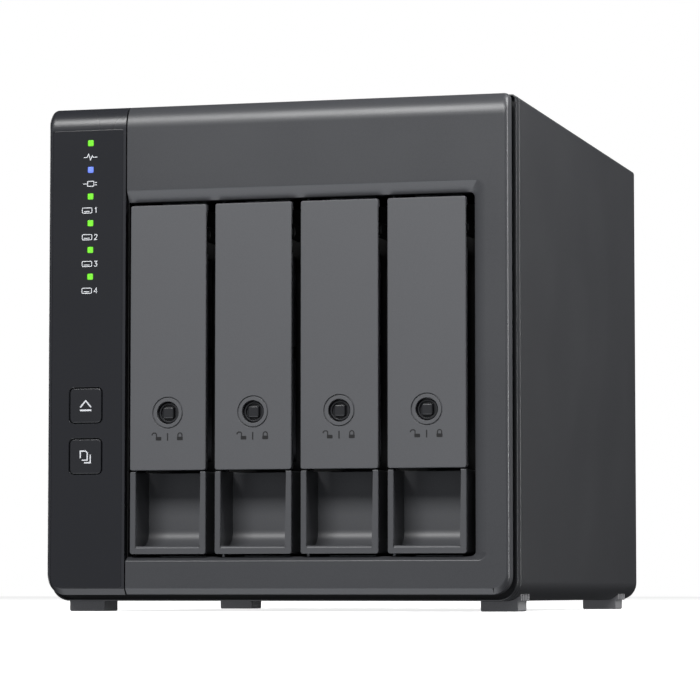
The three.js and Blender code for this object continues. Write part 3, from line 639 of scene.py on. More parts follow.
def front_form(x0, x1):
    """The front moulding from x0 to x1: rounded sides, soft top edge, bevelled chin."""
    steps = 28
    curve = [FILLET["depth"] * (1 - math.cos(math.pi / 2 * k / steps)) for k in range(steps + 1)]
    depths = sorted([*curve, CHIN["depth"], BEZEL_BACK - FRONT])
    loops = []
    for depth in depths:
        side = SIDE_ROUND * shortfall(depth, SIDE_ROUND)
        top = TOP - FILLET["height"] * shortfall(depth, FILLET["depth"])
        bottom = BEZEL_BOTTOM + CHIN["height"] * max(0.0, 1 - depth / CHIN["depth"])
        half = BEZEL_HALF - side
        low_r, high_r = CORNER["low"] - side, CORNER["high"] - side
        outline = rounded(-half, half, bottom, top, (low_r, low_r, high_r, high_r), 12)
        loops.append([(x, FRONT + depth, z) for x, z in outline])
    outside = [block(a, b, FRONT - 1, BACK, 0, FAR) for a, b in ((-FAR, x0), (x1, FAR))]
    return cut(loft(loops), *outside)


def window_tool():
    """The tray window with its sloping top, right and bottom edges."""
    def ring(right, bottom, top, radius):
        return rounded(BEZEL_LEFT - 3, right, bottom, top, (0, radius, radius, 0))

    out = 1.0 / MOUTH["depth"]
    slopes = {side: (MOUTH[side] - WINDOW[side]) * out for side in ("right", "bottom", "top")}
    near = ring(*(MOUTH[side] + slopes[side] for side in slopes), MOUTH["radius"] + 0.4)
    rim = ring(MOUTH["right"], MOUTH["bottom"], MOUTH["top"], MOUTH["radius"])
    throat = ring(WINDOW["right"], WINDOW["bottom"], WINDOW["top"], WINDOW["radius"])
    places = (
        (near, FRONT - 1), (rim, FRONT), (throat, FRONT + MOUTH["depth"]), (throat, BEZEL_BACK + 1),
    )
    return loft([[(x, y, z) for x, z in loop] for loop, y in places])


def bezel():
    """The front frame, and the rails and clips behind it that carry the status strip; these are near-black
    plastic whose tone also paints the shade behind the frame.
    """
    frame_part = cut(front_form(BEZEL_LEFT, BEZEL_HALF + 1), window_tool())
    post = BEZEL_LEFT - 2.5
    clip = FRONT + 3.4
    rails = [
        block(post, BEZEL_LEFT - 0.02, clip, BEZEL_BACK, 9, 160),
        block(post, BEZEL_LEFT + 2, clip, BEZEL_BACK, 9, WINDOW["bottom"] - 0.5),
        block(post, BEZEL_LEFT + 2, clip, BEZEL_BACK, WINDOW["top"] + 0.5, 160),
        block(-74, post + 1, clip, FRONT + 5.2, 14, 34),
        block(-74, post + 1, clip, FRONT + 5.2, 84, 104),
    ]
    fixed(frame_part, "bezel_frame", BEZEL, ["front_bezel"], edge=0.28)
    # The clips take the near-black tone that also paints the shade behind the frame.
    fixed(join(*rails), "bezel_clips", BLACK_PLASTIC_AND_SHADE, edge=0.2)


def led_z(index):
    return LED_TOP - LED_PITCH * index


def led_outline(index, size, steps):
    half, z = size / 2, led_z(index)
    return rounded(LED_X - half, LED_X + half, z - half, z + half, 0.35, steps)


def led_tools(size, y0, y1):
    return merged(*[slab(led_outline(i, size, 3), y0, y1) for i in range(LED_COUNT)])


BUTTONS = {"eject": span("eject_button"), "copy": span("copy_button")}
BUTTON_RADIUS = 1.6


def button_outline(name, grow, radius):
    low, high = BUTTONS[name]
    return around(low, high, radius, 6, grow)


def button_tools(*places):
    """Cutters for the button holes, through places of (clearance round the button, depth)."""
    return merged(*[
        loft([
            [(x, y, z) for x, z in button_outline(name, grow, BUTTON_RADIUS + grow)]
            for grow, y in places
        ])
        for name in BUTTONS
    ])


def status_strip():
    """The dark panel beside the bezel, with a glossy film let into its face."""
    panel = front_form(-BEZEL_HALF - 1, STRIP_RIGHT)
    low, high = span("strip_overlay")
    corners = (3.0, 0.8, 0.8, 0.8)
    gap = 0.03
    recess = around(low, high, corners, 5, gap)
    before, behind = FRONT - 1, FRONT + 4
    panel = cut(
        panel,
        block(-BEZEL_HALF + 2, STRIP_RIGHT + 1, FRONT + 2.9, BEZEL_BACK + 1, 8, TOP - 3.5),
        slab(recess, before, FRONT + 0.5),
        led_tools(LED_SIZE + 0.8, before, behind),
        button_tools((0.3, before), (0.3, behind)),
    )
    fixed(panel, "strip_panel", STRIP, ["status_strip"])
    wide, narrow = 0.4, 0.16
    film = cut(
        slab(around(low, high, corners, 5), FACE, FRONT + 0.45, front=0.15, steps=2),
        led_tools(LED_SIZE + narrow, before, FRONT + 1),
        button_tools((wide, before), (wide, FACE), (narrow, FACE + wide - narrow), (narrow, FRONT + 1)),
    )
    fixed(film, "strip_film", FILM, ["strip_overlay"])


def status_lights():
    """The clear bar behind the panel, and its lit windows."""
    low, high = span("light_guide")
    bar_front = high.y - 1.6
    bar = slab(around(low, high, 0.8, 4), bar_front, high.y, front=0.3, back=0.3)
    fixed(bar, "light_guide_bar", GUIDE, ["light_guide"])
    for index, name in enumerate(["status", "link", "disk_1", "disk_2", "disk_3", "disk_4"]):
        window = slab(led_outline(index, LED_SIZE, 4), FRONT + 0.1, bar_front, front=0.2, steps=3)
        fixed(window, f"led_{name}", BLUE_LED if name == "link" else GREEN_LED)


DIGITS = {
    "1": [[(0.15, 1.35), (0.55, 1.75), (0.55, 0.0)]],
    "2": [[
        (0.0, 1.35), (0.15, 1.65), (0.5, 1.75), (0.85, 1.6), (0.95, 1.25), (0.75, 0.85),
        (0.0, 0.0), (1.0, 0.0),
    ]],
    "3": [[
        (0.0, 1.75), (0.95, 1.75), (0.45, 1.05), (0.8, 0.95), (1.0, 0.6), (0.85, 0.2),
        (0.5, 0.0), (0.15, 0.05), (0.0, 0.3),
    ]],
    "4": [[(0.8, 0.0), (0.8, 1.75), (0.0, 0.55), (1.1, 0.55)]],
}


def strip_marks():
    """Printed marks under the lights: a pulse, a plug, and a disk with its number."""
    line, drop = 0.26, 5.6
    z = led_z(0) - drop
    pulse = [(-2.4, 0.8), (-1.2, 0.8), (-0.7, 1.9), (0.0, -0.1), (0.6, 1.3), (0.9, 0.8), (2.4, 0.8)]
    marks = [mark(moved(pulse, LED_X, z), line)]
    z = led_z(1) - drop
    marks.append(mark(moved(rounded(-1.0, 1.2, 0, 1.7, 0.25, 2), LED_X, z), line, closed=True))
    for wire in ([(-1.2, 0.85), (-2.6, 0.85)], [(1.45, 0.45), (2.3, 0.45)], [(1.45, 1.25), (2.3, 1.25)]):
        marks.append(mark(moved(wire, LED_X, z), line))
    for index, digit in enumerate("1234"):
        z = led_z(index + 2) - drop
        marks.append(mark(moved(rounded(-2.8, 0.6, 0, 1.75, 0.4, 3), LED_X, z), line, closed=True))
        marks.append(mark(moved([(-2.2, 0.55), (-0.2, 0.55)], LED_X, z), line))
        marks += [mark(moved(path, LED_X + 1.5, z), line) for path in DIGITS[digit]]
    fixed(merged(*marks), "strip_marks", WHITE)


SYMBOLS = {  # lines of each button's symbol from its middle, with their widths
    "eject": (([(-1.9, -0.6), (0.0, 1.6), (1.9, -0.6)], 0.45), ([(-2.0, -1.6), (2.0, -1.6)], 0.55)),
    "copy": (
        ([(-1.8, -0.5), (-1.8, 1.8), (0.1, 1.8), (0.65, 1.2), (0.65, -1.2), (-1.25, -1.2)], 0.42),
        ([(-0.5, -2.1), (1.7, -2.1), (1.7, 0.6)], 0.42),
    ),
}


def buttons():
    """Front buttons: a cap on a stem that reaches its switch, with a printed symbol."""
    for name, (low, high) in BUTTONS.items():
        x, z = (low.x + high.x) / 2, (low.z + high.z) / 2
        cap = slab(button_outline(name, -0.1, 1.5), FACE, FRONT + 2.6, front=0.35, back=0.2)
        stem = block(x - 2, x + 2, FRONT + 2, high.y, z - 2, z + 2)
        body = f"{name}_button"
        place(join(cap, stem), f"{name}_cap", body, BUTTON, [body], edge=0.12)
        symbol = merged(*[mark(moved(path, x, z), width) for path, width in SYMBOLS[name]])
        place(symbol, f"{name}_symbol", body, WHITE)


# ---------------------------------------------------------------- body shells

BODY = {"bottom": span("outer_cover")[0].z, "low_r": 6.5, "high_r": 1.5}
SHEET_THICK = 1.2
RIM_LOW, RIM_HIGH = span("body_rim")
COVER_FRONT = span("outer_cover")[0].y
REAR_LOW, REAR_HIGH = span("rear_panel")
REAR_FRONT = REAR_HIGH.y - SHEET_THICK


def body_outline(step):
    """The body's outline seen from the front, moved inwards by step."""
    low_r = BODY["low_r"] - min(step, 4.5)
    high_r = max(BODY["high_r"] - step, 0.4)
    return rounded(
        LOW.x + step, HIGH.x - step, BODY["bottom"] + step, TOP - step, (low_r, low_r, high_r, high_r), 12,
    )


def shell_ring(profile):
    """Ring round the body. The profile lists (distance inside the body's outline, depth)."""
    return hoop([[(x, y, z) for x, z in body_outline(step)] for step, y in profile])


def rim():
    """Frame behind the bezel: a thin lip that shows round the body, a deep dark groove, and the flange."""
    front, web, back = FRONT + 8.0, FRONT + 10.6, FRONT + 12.1
    lip, core, inner = 0.6, 3.2, SHEET_THICK + 0.3
    ring = shell_ring([
        *arc(0.3, front + 0.3, 0.3, 270, 180, 4),
        (0, back), (inner, back), (inner, RIM_HIGH.y), (6, RIM_HIGH.y), (6, RIM_LOW.y), (core, RIM_LOW.y),
        (core, web), (lip, web),
        *arc(lip - 0.15, front + 0.15, 0.15, 0, -90, 4),
    ])
    fixed(ring, "rim_lip", RIM, ["body_rim"])


def cover():
    """Folded sheet round the top and sides, with its lower edges turned in under the base."""
    front = COVER_FRONT
    shell = shell_ring([
        *arc(0.6, front + 0.6, 0.6, 270, 180, 4),
        *arc(0.3, BACK - 0.3, 0.3, 180, 90, 4),
        (SHEET_THICK, BACK), (SHEET_THICK, front),
    ])
    mouth = block(-70, 70, front - 1, BACK + 1, 0, BODY["bottom"] + SHEET_THICK + 1)
    fixed(cut(shell, mouth, tidy=False), "cover_shell", COVER, ["outer_cover"])


def foot(name, side, end):
    """Rubber foot with a ribbed lug that curves up round the body's lower corner."""
    low, high = span(f"foot_{name}")
    inner, outer, lug = 65.0, 77.5, 78.5
    gap = 0.02
    reach = BODY["low_r"] + gap
    centre = (HIGH.x - BODY["low_r"], BODY["bottom"] + BODY["low_r"])
    turn = math.degrees(math.asin((lug - centre[0]) / reach))
    under = BODY["bottom"] - gap
    outline = [(inner + 0.4, 0), (outer - 0.4, 0), (outer, 0.4), (outer, under), (lug, under)]
    outline += arc(*centre, reach, 270 + turn, 270, 10)
    outline += [(inner, under), (inner, 0.4)]
    near, far = min(abs(low.y), abs(high.y)), max(abs(low.y), abs(high.y))
    pad = loft([[(side * x, end * y, z) for x, z in outline] for y in (near, far)])
    ribs = []
    for i in range(4):
        y = near + 2 + i * 2.8
        y0, y1 = sorted((end * y, end * (y + 1.2)))
        x0, x1 = sorted((side * (lug - 0.5), side * (lug + 1)))
        ribs.append(block(x0, x1, y0, y1, under - 0.1, under + 4.5))
    fixed(cut(pad, merged(*ribs)), f"foot_pad_{name}", FOOT, [f"foot_{name}"], edge=0.15)


# ---------------------------------------------------------------- back

FAN_LOW, FAN_HIGH = span("fan_frame")
FAN_X, FAN_Z = (FAN_LOW.x + FAN_HIGH.x) / 2, (FAN_LOW.z + FAN_HIGH.z) / 2
SOCKETS = ("lan_socket", "usb_socket_1", "usb_socket_2", "power_socket")
SCREWS = ("cover_screw_1", "cover_screw_2", "fan_screw_1", "fan_screw_2", "fan_screw_3", "fan_screw_4")


GRILLE = {"rings": 6, "inner": 9.0, "pitch": 8.2, "slot": 6.0, "bar": 2.2}
LOCK_SLOT = (71.9, 74.9, 36.5, 43.5)


def centre_of(node):
    low, high = span(node)
    return (low + high) / 2


def rear_holes(nodes, r, y0, y1, sides):
    """Cutters for round holes behind some nodes."""
    return [rod(centre_of(node).x, centre_of(node).z, r, y0, y1, sides) for node in nodes]


def grille(y0, y1):
    """Cutters for the fan's grille: rings of slots between four spokes."""
    slots = []
    for ring in range(GRILLE["rings"]):
        inner = GRILLE["inner"] + GRILLE["pitch"] * ring
        outer = inner + GRILLE["slot"]
        margin = math.degrees(GRILLE["bar"] / inner / 1.2)
        for spoke in range(4):
            start, end = 90 * spoke + 45 + margin, 90 * spoke + 135 - margin
            points = arc(FAN_X, FAN_Z, outer, start, end, 20) + arc(FAN_X, FAN_Z, inner, end, start, 20)
            slots.append(slab(points, y0, y1))
    return merged(*slots)


def rear_panel():
    """Back plate with its grille, socket openings, screw holes, lock slot and top flange."""
    face = rounded(LOW.x + 1.6, HIGH.x - 1.6, BODY["bottom"] + 1.5, TOP - 1.6, (4.6, 4.6, 0.6, 0.6), 8)
    panel = slab(face, REAR_FRONT, REAR_HIGH.y)
    flange = block(-68, 68, REAR_LOW.y, REAR_FRONT + 0.5, TOP - 4, TOP - 2.8)
    y0, y1 = REAR_FRONT - 1, REAR_HIGH.y + 1
    tools = [grille(y0, y1)]
    gap = 0.3
    for node in SOCKETS:
        low, high = span(node)
        tools.append(block(low.x - gap, high.x + gap, y0, y1, low.z - gap, high.z + gap))
    holes = rear_holes(SCREWS, 1.9, y0, y1, 24) + rear_holes(["power_button"], 6.2, y0, y1, 48)
    holes.append(slab(rounded(*LOCK_SLOT, 1.2, 6), y0, y1))
    tools.append(merged(*holes))
    fixed(join(cut(panel, *tools), flange), "rear_plate", COVER, ["rear_panel"], edge=0.15)


def cross(x, z, reach, half, y0, y1):
    """Two crossing bars."""
    return join(
        block(x - reach, x + reach, y0, y1, z - half, z + half),
        block(x - half, x + half, y0, y1, z - reach, z + reach),
    )


def screw(node):
    """Pan-head screw with a cross recess."""
    low, high = span(node)
    x, z = (low.x + high.x) / 2, (low.z + high.z) / 2
    head = rod(x, z, 3.1, REAR_HIGH.y + 0.1, high.y, 32, back=0.45)
    shank = rod(x, z, 1.6, low.y, REAR_HIGH.y + 0.3, 20)
    recess = cross(x, z, 1.6, 0.3, high.y - 0.65, high.y + 1)
    fixed(cut(join(head, shank), recess), f"{node}_head", SCREW, [node], edge=0.06)


def fan_frame():
    """Square fan housing with a waist between its flanges, and the spider that holds the motor."""
    y0, y1 = FAN_LOW.y, FAN_HIGH.y
    half = (FAN_HIGH.x - FAN_LOW.x) / 2
    body = slab(around(FAN_LOW, FAN_HIGH, 4, 6), y0, y1)
    waist = cut(
        slab(rounded(FAN_X - half - 1, FAN_X + half + 1, FAN_Z - 42, FAN_Z + 42, 1, 3), y0 + 4, y1 - 4),
        rod(FAN_X, FAN_Z, half - 0.6, y0, y1, 96),
    )
    holes = merged(*rear_holes(SCREWS[2:], 2.1, y0 - 1, y1 + 1, 20))
    body = cut(body, rod(FAN_X, FAN_Z, 58, y0 - 1, y1 + 1, 96), waist, holes)
    spider = join(
        cross(FAN_X, FAN_Z, 59, 2, y1 - 2.5, y1 - 0.1), rod(FAN_X, FAN_Z, 18.5, y1 - 2.5, y1, 64),
    )
    fixed(join(body, spider), "fan_housing", FAN, ["fan_frame"], edge=0.3)


def fan_blade(start, hub_r, tip_r, low_y, high_y):
    """One twisted, cambered blade. It grows wider and flatter from the hub to the tip."""
    steps, sunk, margin = 8, 1.2, 0.3
    mid = (low_y + high_y) / 2
    loops = []
    for step in range(steps + 1):
        share = step / steps
        r = hub_r - sunk + (tip_r - hub_r + sunk) * share
        pitch = math.radians(48 - 16 * share)
        half_chord = 9.5 + 5.5 * share
        lead = math.radians(12) * share
        top, under = [], []
        for k in range(steps + 1):
            along = -1 + 2 * k / steps
            camber = 1.6 * (1 - along * along)
            thick = 0.75 * (1 - 0.7 * along * along)
            rise = -half_chord * along * math.sin(pitch) * 0.85
            angle = start + lead + half_chord * along * math.cos(pitch) / r
            for side, out in ((top, thick), (under, -thick)):
                y = max(low_y + margin, min(high_y - margin, mid + rise + camber + out))
                side.append((FAN_X + r * math.sin(angle), y, FAN_Z + r * math.cos(angle)))
        loops.append(top + under[::-1])
    return loft(loops)


def fan_rotor():
    low, high = span("fan_rotor")
    hub_r, tip_r, count = 19.5, 55.5, 7
    hub = rod(FAN_X, FAN_Z, hub_r, low.y, high.y, 72, front=2.0, back=0.5)
    starts = [2 * math.pi * number / count for number in range(count)]
    blades = [fan_blade(start, hub_r, tip_r, low.y, high.y) for start in starts]
    place(join(hub, *blades), "rotor_blades", "rotor", FAN, ["fan_rotor"])


def smooth_path(points, steps=6):
    """Points on a smooth curve through the given ones."""
    given = [Vector(p) for p in points]
    path = []
    for i in range(len(given) - 1):
        p0, p1 = given[max(i - 1, 0)], given[i]
        p2, p3 = given[i + 1], given[min(i + 2, len(given) - 1)]
        for k in range(steps):
            t = k / steps
            path.append(0.5 * (
                2 * p1 + (p2 - p0) * t + (2 * p0 - 5 * p1 + 4 * p2 - p3) * t ** 2
                + (3 * p1 - p0 - 3 * p2 + p3) * t ** 3
            ))
    return [tuple(p) for p in path + [given[-1]]]


def fan_lead():
    """Short sleeve from the fan's corner to the drive cage."""
    start = FAN_LOW.y
    route = [
        (-49, start - 0.4, 140), (-49.1, start - 3, 140.6), (-50.2, start - 6.6, 143.2),
        (-52.2, start - 8.8, 144.8), (-54.2, start - 9, 145),
    ]
    fixed(tube(smooth_path(route), 1.0), "fan_cable", LEAD, ["fan_lead"])


def socket_shell(node, wide, tall, reach, radius):
    """Socket body with a mouth, and the middle of the socket and the depth of its face."""
    low, high = span(node)
    middle = (low + high) / 2
    shell = slab(around(low, high, 0.4, 3), low.y, high.y)
    mouth = moved(rounded(-wide / 2, wide / 2, -tall / 2, tall / 2, radius, 4), middle.x, middle.z)
    return cut(shell, slab(mouth, high.y - reach, high.y + 1)), middle, high.y


def lan_socket():
    shell, middle, mouth = socket_shell("lan_socket", 8.6, 11.8, 12, 0.3)
    notch = block(middle.x + 4, middle.x + 6, mouth - 8, mouth + 1, middle.z - 3, middle.z + 3)
    fixed(cut(shell, notch), "lan_shell", SOCKET, ["lan_socket"], edge=0.12)
    x0, x1, y0, y1 = middle.x - 4.2, middle.x - 3.4, mouth - 11.9, mouth - 3
    pins = [
        block(x0, x1, y0, y1, middle.z - 4 + i * 1.02, middle.z - 3.5 + i * 1.02) for i in range(8)
    ]
    fixed(merged(*pins), "lan_contacts", GOLD)


def usb_socket(number):
    node = f"usb_socket_{number}"
    shell, middle, mouth = socket_shell(node, 5.2, 12.4, 11, 0.4)
    fixed(shell, f"usb_shell_{number}", SOCKET, [node], edge=0.1)
    outline = rounded(middle.x + 0.1, middle.x + 1.9, middle.z - 5.4, middle.z + 5.4, 0.2, 3)
    tongue = slab(outline, mouth - 10.9, mouth - 1.2, back=0.2)
    fixed(tongue, f"usb_tongue_{number}", BLACK)
    x0, x1, y0, y1 = middle.x - 0.12, middle.x + 0.08, mouth - 9.5, mouth - 2
    centres = [middle.z + z for z in (-3.5, -1.2, 1.2, 3.5)]
    pins = [block(x0, x1, y0, y1, z - 0.5, z + 0.5) for z in centres]
    fixed(merged(*pins), f"usb_contacts_{number}", GOLD)


def power_inlet():
    low, high = span("power_socket")
    middle = (low + high) / 2
    shell = cut(
        slab(around(low, high, 0.6, 4), low.y, high.y),
        rod(middle.x, middle.z, 3.2, high.y - 9, high.y + 1, 40),
    )
    fixed(shell, "power_inlet", BLACK, ["power_socket"], edge=0.15)
    pin = rod(middle.x, middle.z, 0.95, high.y - 8.9, high.y - 1.2, 24, back=0.4)
    fixed(pin, "power_pin", SOCKET)


def power_button():
    """Round rear button with a collar behind the plate and the usual power symbol."""
    low, high = span("power_button")
    x, z = (low.x + high.x) / 2, (low.z + high.z) / 2
    cap = rod(x, z, 5.5, high.y - 5.2, high.y - SKIN, 64, back=0.6)
    collar = rod(x, z, 7.5, low.y, REAR_FRONT - 1.2, 48, back=0.3)
    core = rod(x, z, 5.2, low.y + 0.3, high.y - 4, 48)
    place(join(cap, core, collar), "power_cap", "power_button", BUTTON, ["power_button"], edge=0.1)
    y0, y1 = high.y - 0.06, high.y - 0.01
    ring = arc(x, z, 1.9, 54, -234, 24)
    symbol = merged(stroke(ring, 0.4, y0, y1), stroke([(x, z + 0.4), (x, z + 2.5)], 0.4, y0, y1))
    place(symbol, "power_symbol", "power_button", WHITE)


# ---------------------------------------------------------------- trays

def handle_form():
    """Front plate on two moulded pins, with a ringed hole for the lock."""
    back = FRONT + HANDLE["thick"]
    half = TRAY_HALF
    plate = slab(
        rounded(-half, half, HANDLE["bottom"], HANDLE["top"], 0.7, 5),
        FACE, back, front=0.35, back=0.2,
    )
    plate = cut(
        plate,
        *[
            block(x0, x1, FRONT + 1.2, back + 1, PIVOT["z"] - EAR["relief"], PIVOT["z"] + EAR["relief"])
            for x0, x1 in ((-half - 1, -EAR["inner"] + 0.3), (EAR["inner"] - 0.3, half + 1))
        ],
    )
    reach = EAR["inner"] - 0.4
    lug = cut(
        block(-reach, reach, back - 0.5, PIVOT["y"] + 2, PIVOT["z"] - 3, PIVOT["z"] + 3),
        block(-reach + 2.6, reach - 2.6, back, PIVOT["y"] + 3, PIVOT["z"] - 4, PIVOT["z"] + 4),
    )
    plate = join(plate, lug, rod_x(PIVOT["y"], PIVOT["z"], PIVOT["r"], -half + 0.5, half - 0.5))
    groove = cut(
        rod(0, LOCK_Z, 5.3, FRONT - 1, FACE + 0.5, 64),
        rod(0, LOCK_Z, 4.92, FRONT - 2, FACE + 1, 64),
    )
    return cut(plate, rod(0, LOCK_Z, 3.75, FRONT - 1, back + 1, 48), groove)


def lock_icons():
    """Open padlock, divider, closed padlock."""
    z = LOCK_Z - 9.15
    bodies = [slab(rounded(x0, x1, z, z + 1.15, 0.2, 3), *PRINT) for x0, x1 in ((-4.1, -2.2), (3.3, 5.3))]
    open_shackle = [(-3.85, 1.1), (-3.85, 2.1), (-4.2, 2.45), (-4.9, 2.45), (-5.35, 2.1), (-5.45, 1.7)]
    shackle = [(3.6, 1.1), (3.6, 1.9), (3.85, 2.3), (4.3, 2.45), (4.75, 2.3), (5.0, 1.9), (5.0, 1.1)]
    lines = ((open_shackle, 0.35), (shackle, 0.35), ([(0, -0.1), (0, 2.4)], 0.4))
    return merged(*bodies, *[mark(moved(path, 0, z), width) for path, width in lines])


def lock_form():
    """Barrel with a sunk rim and a raised key boss, and the cam behind."""
    face, back = FRONT + 1.8, FRONT + 6
    barrel = rod(0, LOCK_Z, 3.4, face - 0.5, back, 48, front=0.25)
    dish = rod(0, LOCK_Z, 2.75, face - 1, face + 0.35, 48)
    boss = slab(
        rounded(-1.9, 1.9, LOCK_Z - 1.9, LOCK_Z + 1.9, 0.7, 5),
        FRONT + 0.6, face + 1, front=0.5, steps=5,
    )
    cam = slab(rounded(-2, 2, LOCK_Z - 8, LOCK_Z, (1.2, 1.2, 0, 0), 4), back - 1.4, back)
    return join(cut(barrel, dish), boss, cam)


def pocket_tool():
    """Cutter for the finger pocket: a rounded sill, and a floor that sweeps up into the back."""
    front, back = CARRIER_LOW.y, CARRIER_LOW.y + POCKET["depth"]
    floor, r = POCKET["floor"], POCKET["r"]
    half = TRAY_HALF - POCKET["wall"]
    lip = 0.8
    profile = [(front - 1, floor - lip)] + arc(front + lip, floor - lip, lip, 180, 90, 6)
    profile += arc(back - r, floor + r, r, 270, 360, 16)
    profile += [(back, POCKET["top"] + 1), (front - 1, POCKET["top"] + 1)]
    return beam(profile, -half, half)


def pocket_form():
    """Front box of the tray with the finger pocket."""
    outline = rounded(-TRAY_HALF, TRAY_HALF, CARRIER_LOW.z, POCKET["top"], (0.8, 0.8, 0.5, 0.5), 5)
    return cut(slab(outline, CARRIER_LOW.y, BULKHEAD[0] - 0.02, front=0.3, steps=4), pocket_tool())


def sled_form():
    """Air-through wall behind the handle, side wall, two rails and the ears that hold the handle's pins."""
    half, low, high = TRAY_HALF, CARRIER_LOW, CARRIER_HIGH
    rail_top = high.z
    left = low.x - tray_x(1)
    sled_back = high.y
    front, back = BULKHEAD
    bulkhead = cut(
        block(left, half, front, back, low.z, rail_top),
        block(-9, 9, front - 1, back + 1, 50, 84), block(-9, 9, front - 1, back + 1, 88, 118),
    )
    side = cut(
        block(left, left + 1.1, front, sled_back, low.z, rail_top),
        block(left - 1, left + 2, -74, -14, 36, 118), block(left - 1, left + 2, -6, 54, 36, 118),
    )
    lower = block(left, half, front, sled_back, low.z, low.z + 6.9)
    upper = block(left, half, front, sled_back, rail_top - 5.2, rail_top)
    ears = []
    for x0, x1 in ((-half + 0.1, -EAR["inner"]), (EAR["inner"], half - 0.1)):
        nose = arc(PIVOT["y"], PIVOT["z"], EAR["r"], 90, 270, 12)
        nose += [(front + 1, PIVOT["z"] - EAR["r"]), (front + 1, PIVOT["z"] + EAR["r"])]
        ears.append(beam(nose, x0, x1))
    whole = join(bulkhead, side, lower, upper, *ears)
    return cut(whole, rod_x(PIVOT["y"], PIVOT["z"], PIVOT["hole"], -half - 1, half + 1))


def drive_forms():
    """Cast base with a cover plate on one face and a circuit board on the other."""
    low, high = span("tray_1_drive")
    x = tray_x(1)
    x0, x1 = low.x - x, high.x - x
    half_notch = 22.0
    middle = (low.z + high.z) / 2
    base = cut(
        block(x0 + 0.6, x1, low.y, high.y, low.z, high.z),
        block(5.0, x1 + 1, high.y - 5.5, high.y + 1, middle - half_notch, middle + half_notch),
        block(x1 - 2.4, x1 + 1, low.y + 8, high.y - 8, low.z + 6, low.z + 60),
        merged(*[
            rod_z(x1 - 6.4, y, 1.6, z0, z1)
            for z0, z1 in ((low.z - 1, low.z + 3), (high.z - 3, high.z + 1))
            for y in (low.y + 28, low.y + 70, high.y - 16)
        ]),
    )
    lid_outline = [
        (low.y + 2, low.z + 2), (high.y - 3, low.z + 2), (high.y - 3, high.z - 2), (low.y + 2, high.z - 2),
    ]
    lid = loft([
        [(x0 + 0.7, y, z) for y, z in lid_outline],
        [(x0 + 0.2, y, z) for y, z in lid_outline],
        [(x0, y, z) for y, z in inset(lid_outline, 0.4)],
    ])
    spindle = low.y + 56
    lid = join(lid, rod_x(spindle, middle, 13, x0 + 0.02, x0 + 0.5, 64))
    screws = merged(*[
        rod_x(y, z, 2.2, x0 + 0.001, x0 + 0.4, 24)
        for y in (low.y + 7, high.y - 9, spindle + 34)
        for z in (low.z + 7, high.z - 7)
    ])
    board = block(x1 - 2.2, x1 - 1.2, low.y + 9, high.y - 9, low.z + 7, low.z + 59)
    chips = merged(*[
        block(x1 - 1.3, x1 - 0.2, y, y + w, z, z + h)
        for y, z, w, h in (
            (low.y + 30, low.z + 20, 14, 14), (low.y + 60, low.z + 30, 10, 16),
            (low.y + 88, low.z + 16, 8, 8), (low.y + 106, low.z + 40, 12, 9),
        )
    ])
    return base, lid, screws, board, chips


def trays():
    """The pieces of one tray, and three more of each beside it."""
    drive, lid, lid_screws, board, chips = drive_forms()
    forms = [
        ("handle_plate", "handle", handle_form(), TRAY_GREY, "tray_grey", "handle", 0.12),
        ("handle_icons", "handle", lock_icons(), DARK_INK, "tray_grey", None, 0.0),
        ("lock_barrel", "lock", lock_form(), LOCK, "lock", "lock", 0.1),
        ("carrier_pocket", "tray", pocket_form(), TRAY_DARK, "tray_dark", "carrier", 0.22),
        # The sled's near-black tone also paints the shade in the gaps between the trays.
        ("carrier_sled", "tray", sled_form(), BLACK_PLASTIC_AND_SHADE, "tray_dark", None, 0.2),
        ("drive_base", "tray", drive, ALLOY, "drive_alloy", "drive", 0.3),
        ("drive_lid", "tray", lid, DRIVE_COVER, "drive_alloy", None, 0.0),
        ("drive_screws", "tray", lid_screws, SCREW, "screw", None, 0.0),
        ("drive_board", "tray", board, BOARD, "circuit_board", None, 0.0),
        ("drive_chips", "tray", chips, BLACK, "connector_black", None, 0.15),
    ]
    for name, part, form, look, slot, node, edge in forms:
        for number in TRAYS:
            stands_for = [f"tray_{number}_{node}"] if node else []
            body = f"{part}_{number}"
            if number == 1:
                place(form, f"{name}_1", body, look, stands_for, edge, x=tray_x(1))
            else:
                again(form, f"{name}_{number}", body, stands_for, x=tray_x(number))


# ---------------------------------------------------------------- build

bezel()
status_strip()
status_lights()
strip_marks()
buttons()
rim()
cover()
for end_name, end in (("front", -1), ("back", 1)):
    for side_name, side in (("left", -1), ("right", 1)):
        foot(f"{end_name}_{side_name}", side, end)
rear_panel()
for node in SCREWS:
    screw(node)
fan_frame()
fan_rotor()
fan_lead()
lan_socket()
usb_socket(1)
usb_socket(2)
power_inlet()
power_button()
trays()

for node, look, edge in (
    ("base_plate", COVER, 0.15), ("front_board", BOARD, 0.1), ("eject_switch", BLACK, 0.15),
    ("copy_switch", BLACK, 0.15), ("drive_cage", SHEET, 0.12), ("backplane_board", BOARD, 0.1),
    ("controller_board", BOARD, 0.1), ("heat_sink", FINS, 0.2),
):
    carry(node, look, edge)
for number in TRAYS:
    carry(f"drive_connector_{number}", BLACK, 0.15)
    carry(f"tray_{number}_strip", BLACK, 0.2)


# ---------------------------------------------------------------- floor, light, camera

def floor():
    """White paper under the object, lit evenly, which throws no light back on the object."""
    ground = block(-3000, 3000, -3000, 3000, -20, -0.02)
    ground.name = "floor"
    look = Look("floor_paper", 0.75)
    fibres = look.noise(3.0, 4.0)
    look.coloured(look.blend(look.ranged(fibres, 0.0, 1.0), tone(238, 238, 238), tone(244, 244, 244)))
    look.bumped(fibres, 0.02)
    look.shader.inputs["Emission Color"].default_value = (1.0, 1.0, 1.0, 1.0)
    look.shader.inputs["Emission Strength"].default_value = 0.8
    ground.data.materials.append(look.material)
    ground.visible_diffuse = False
    ground.visible_glossy = False


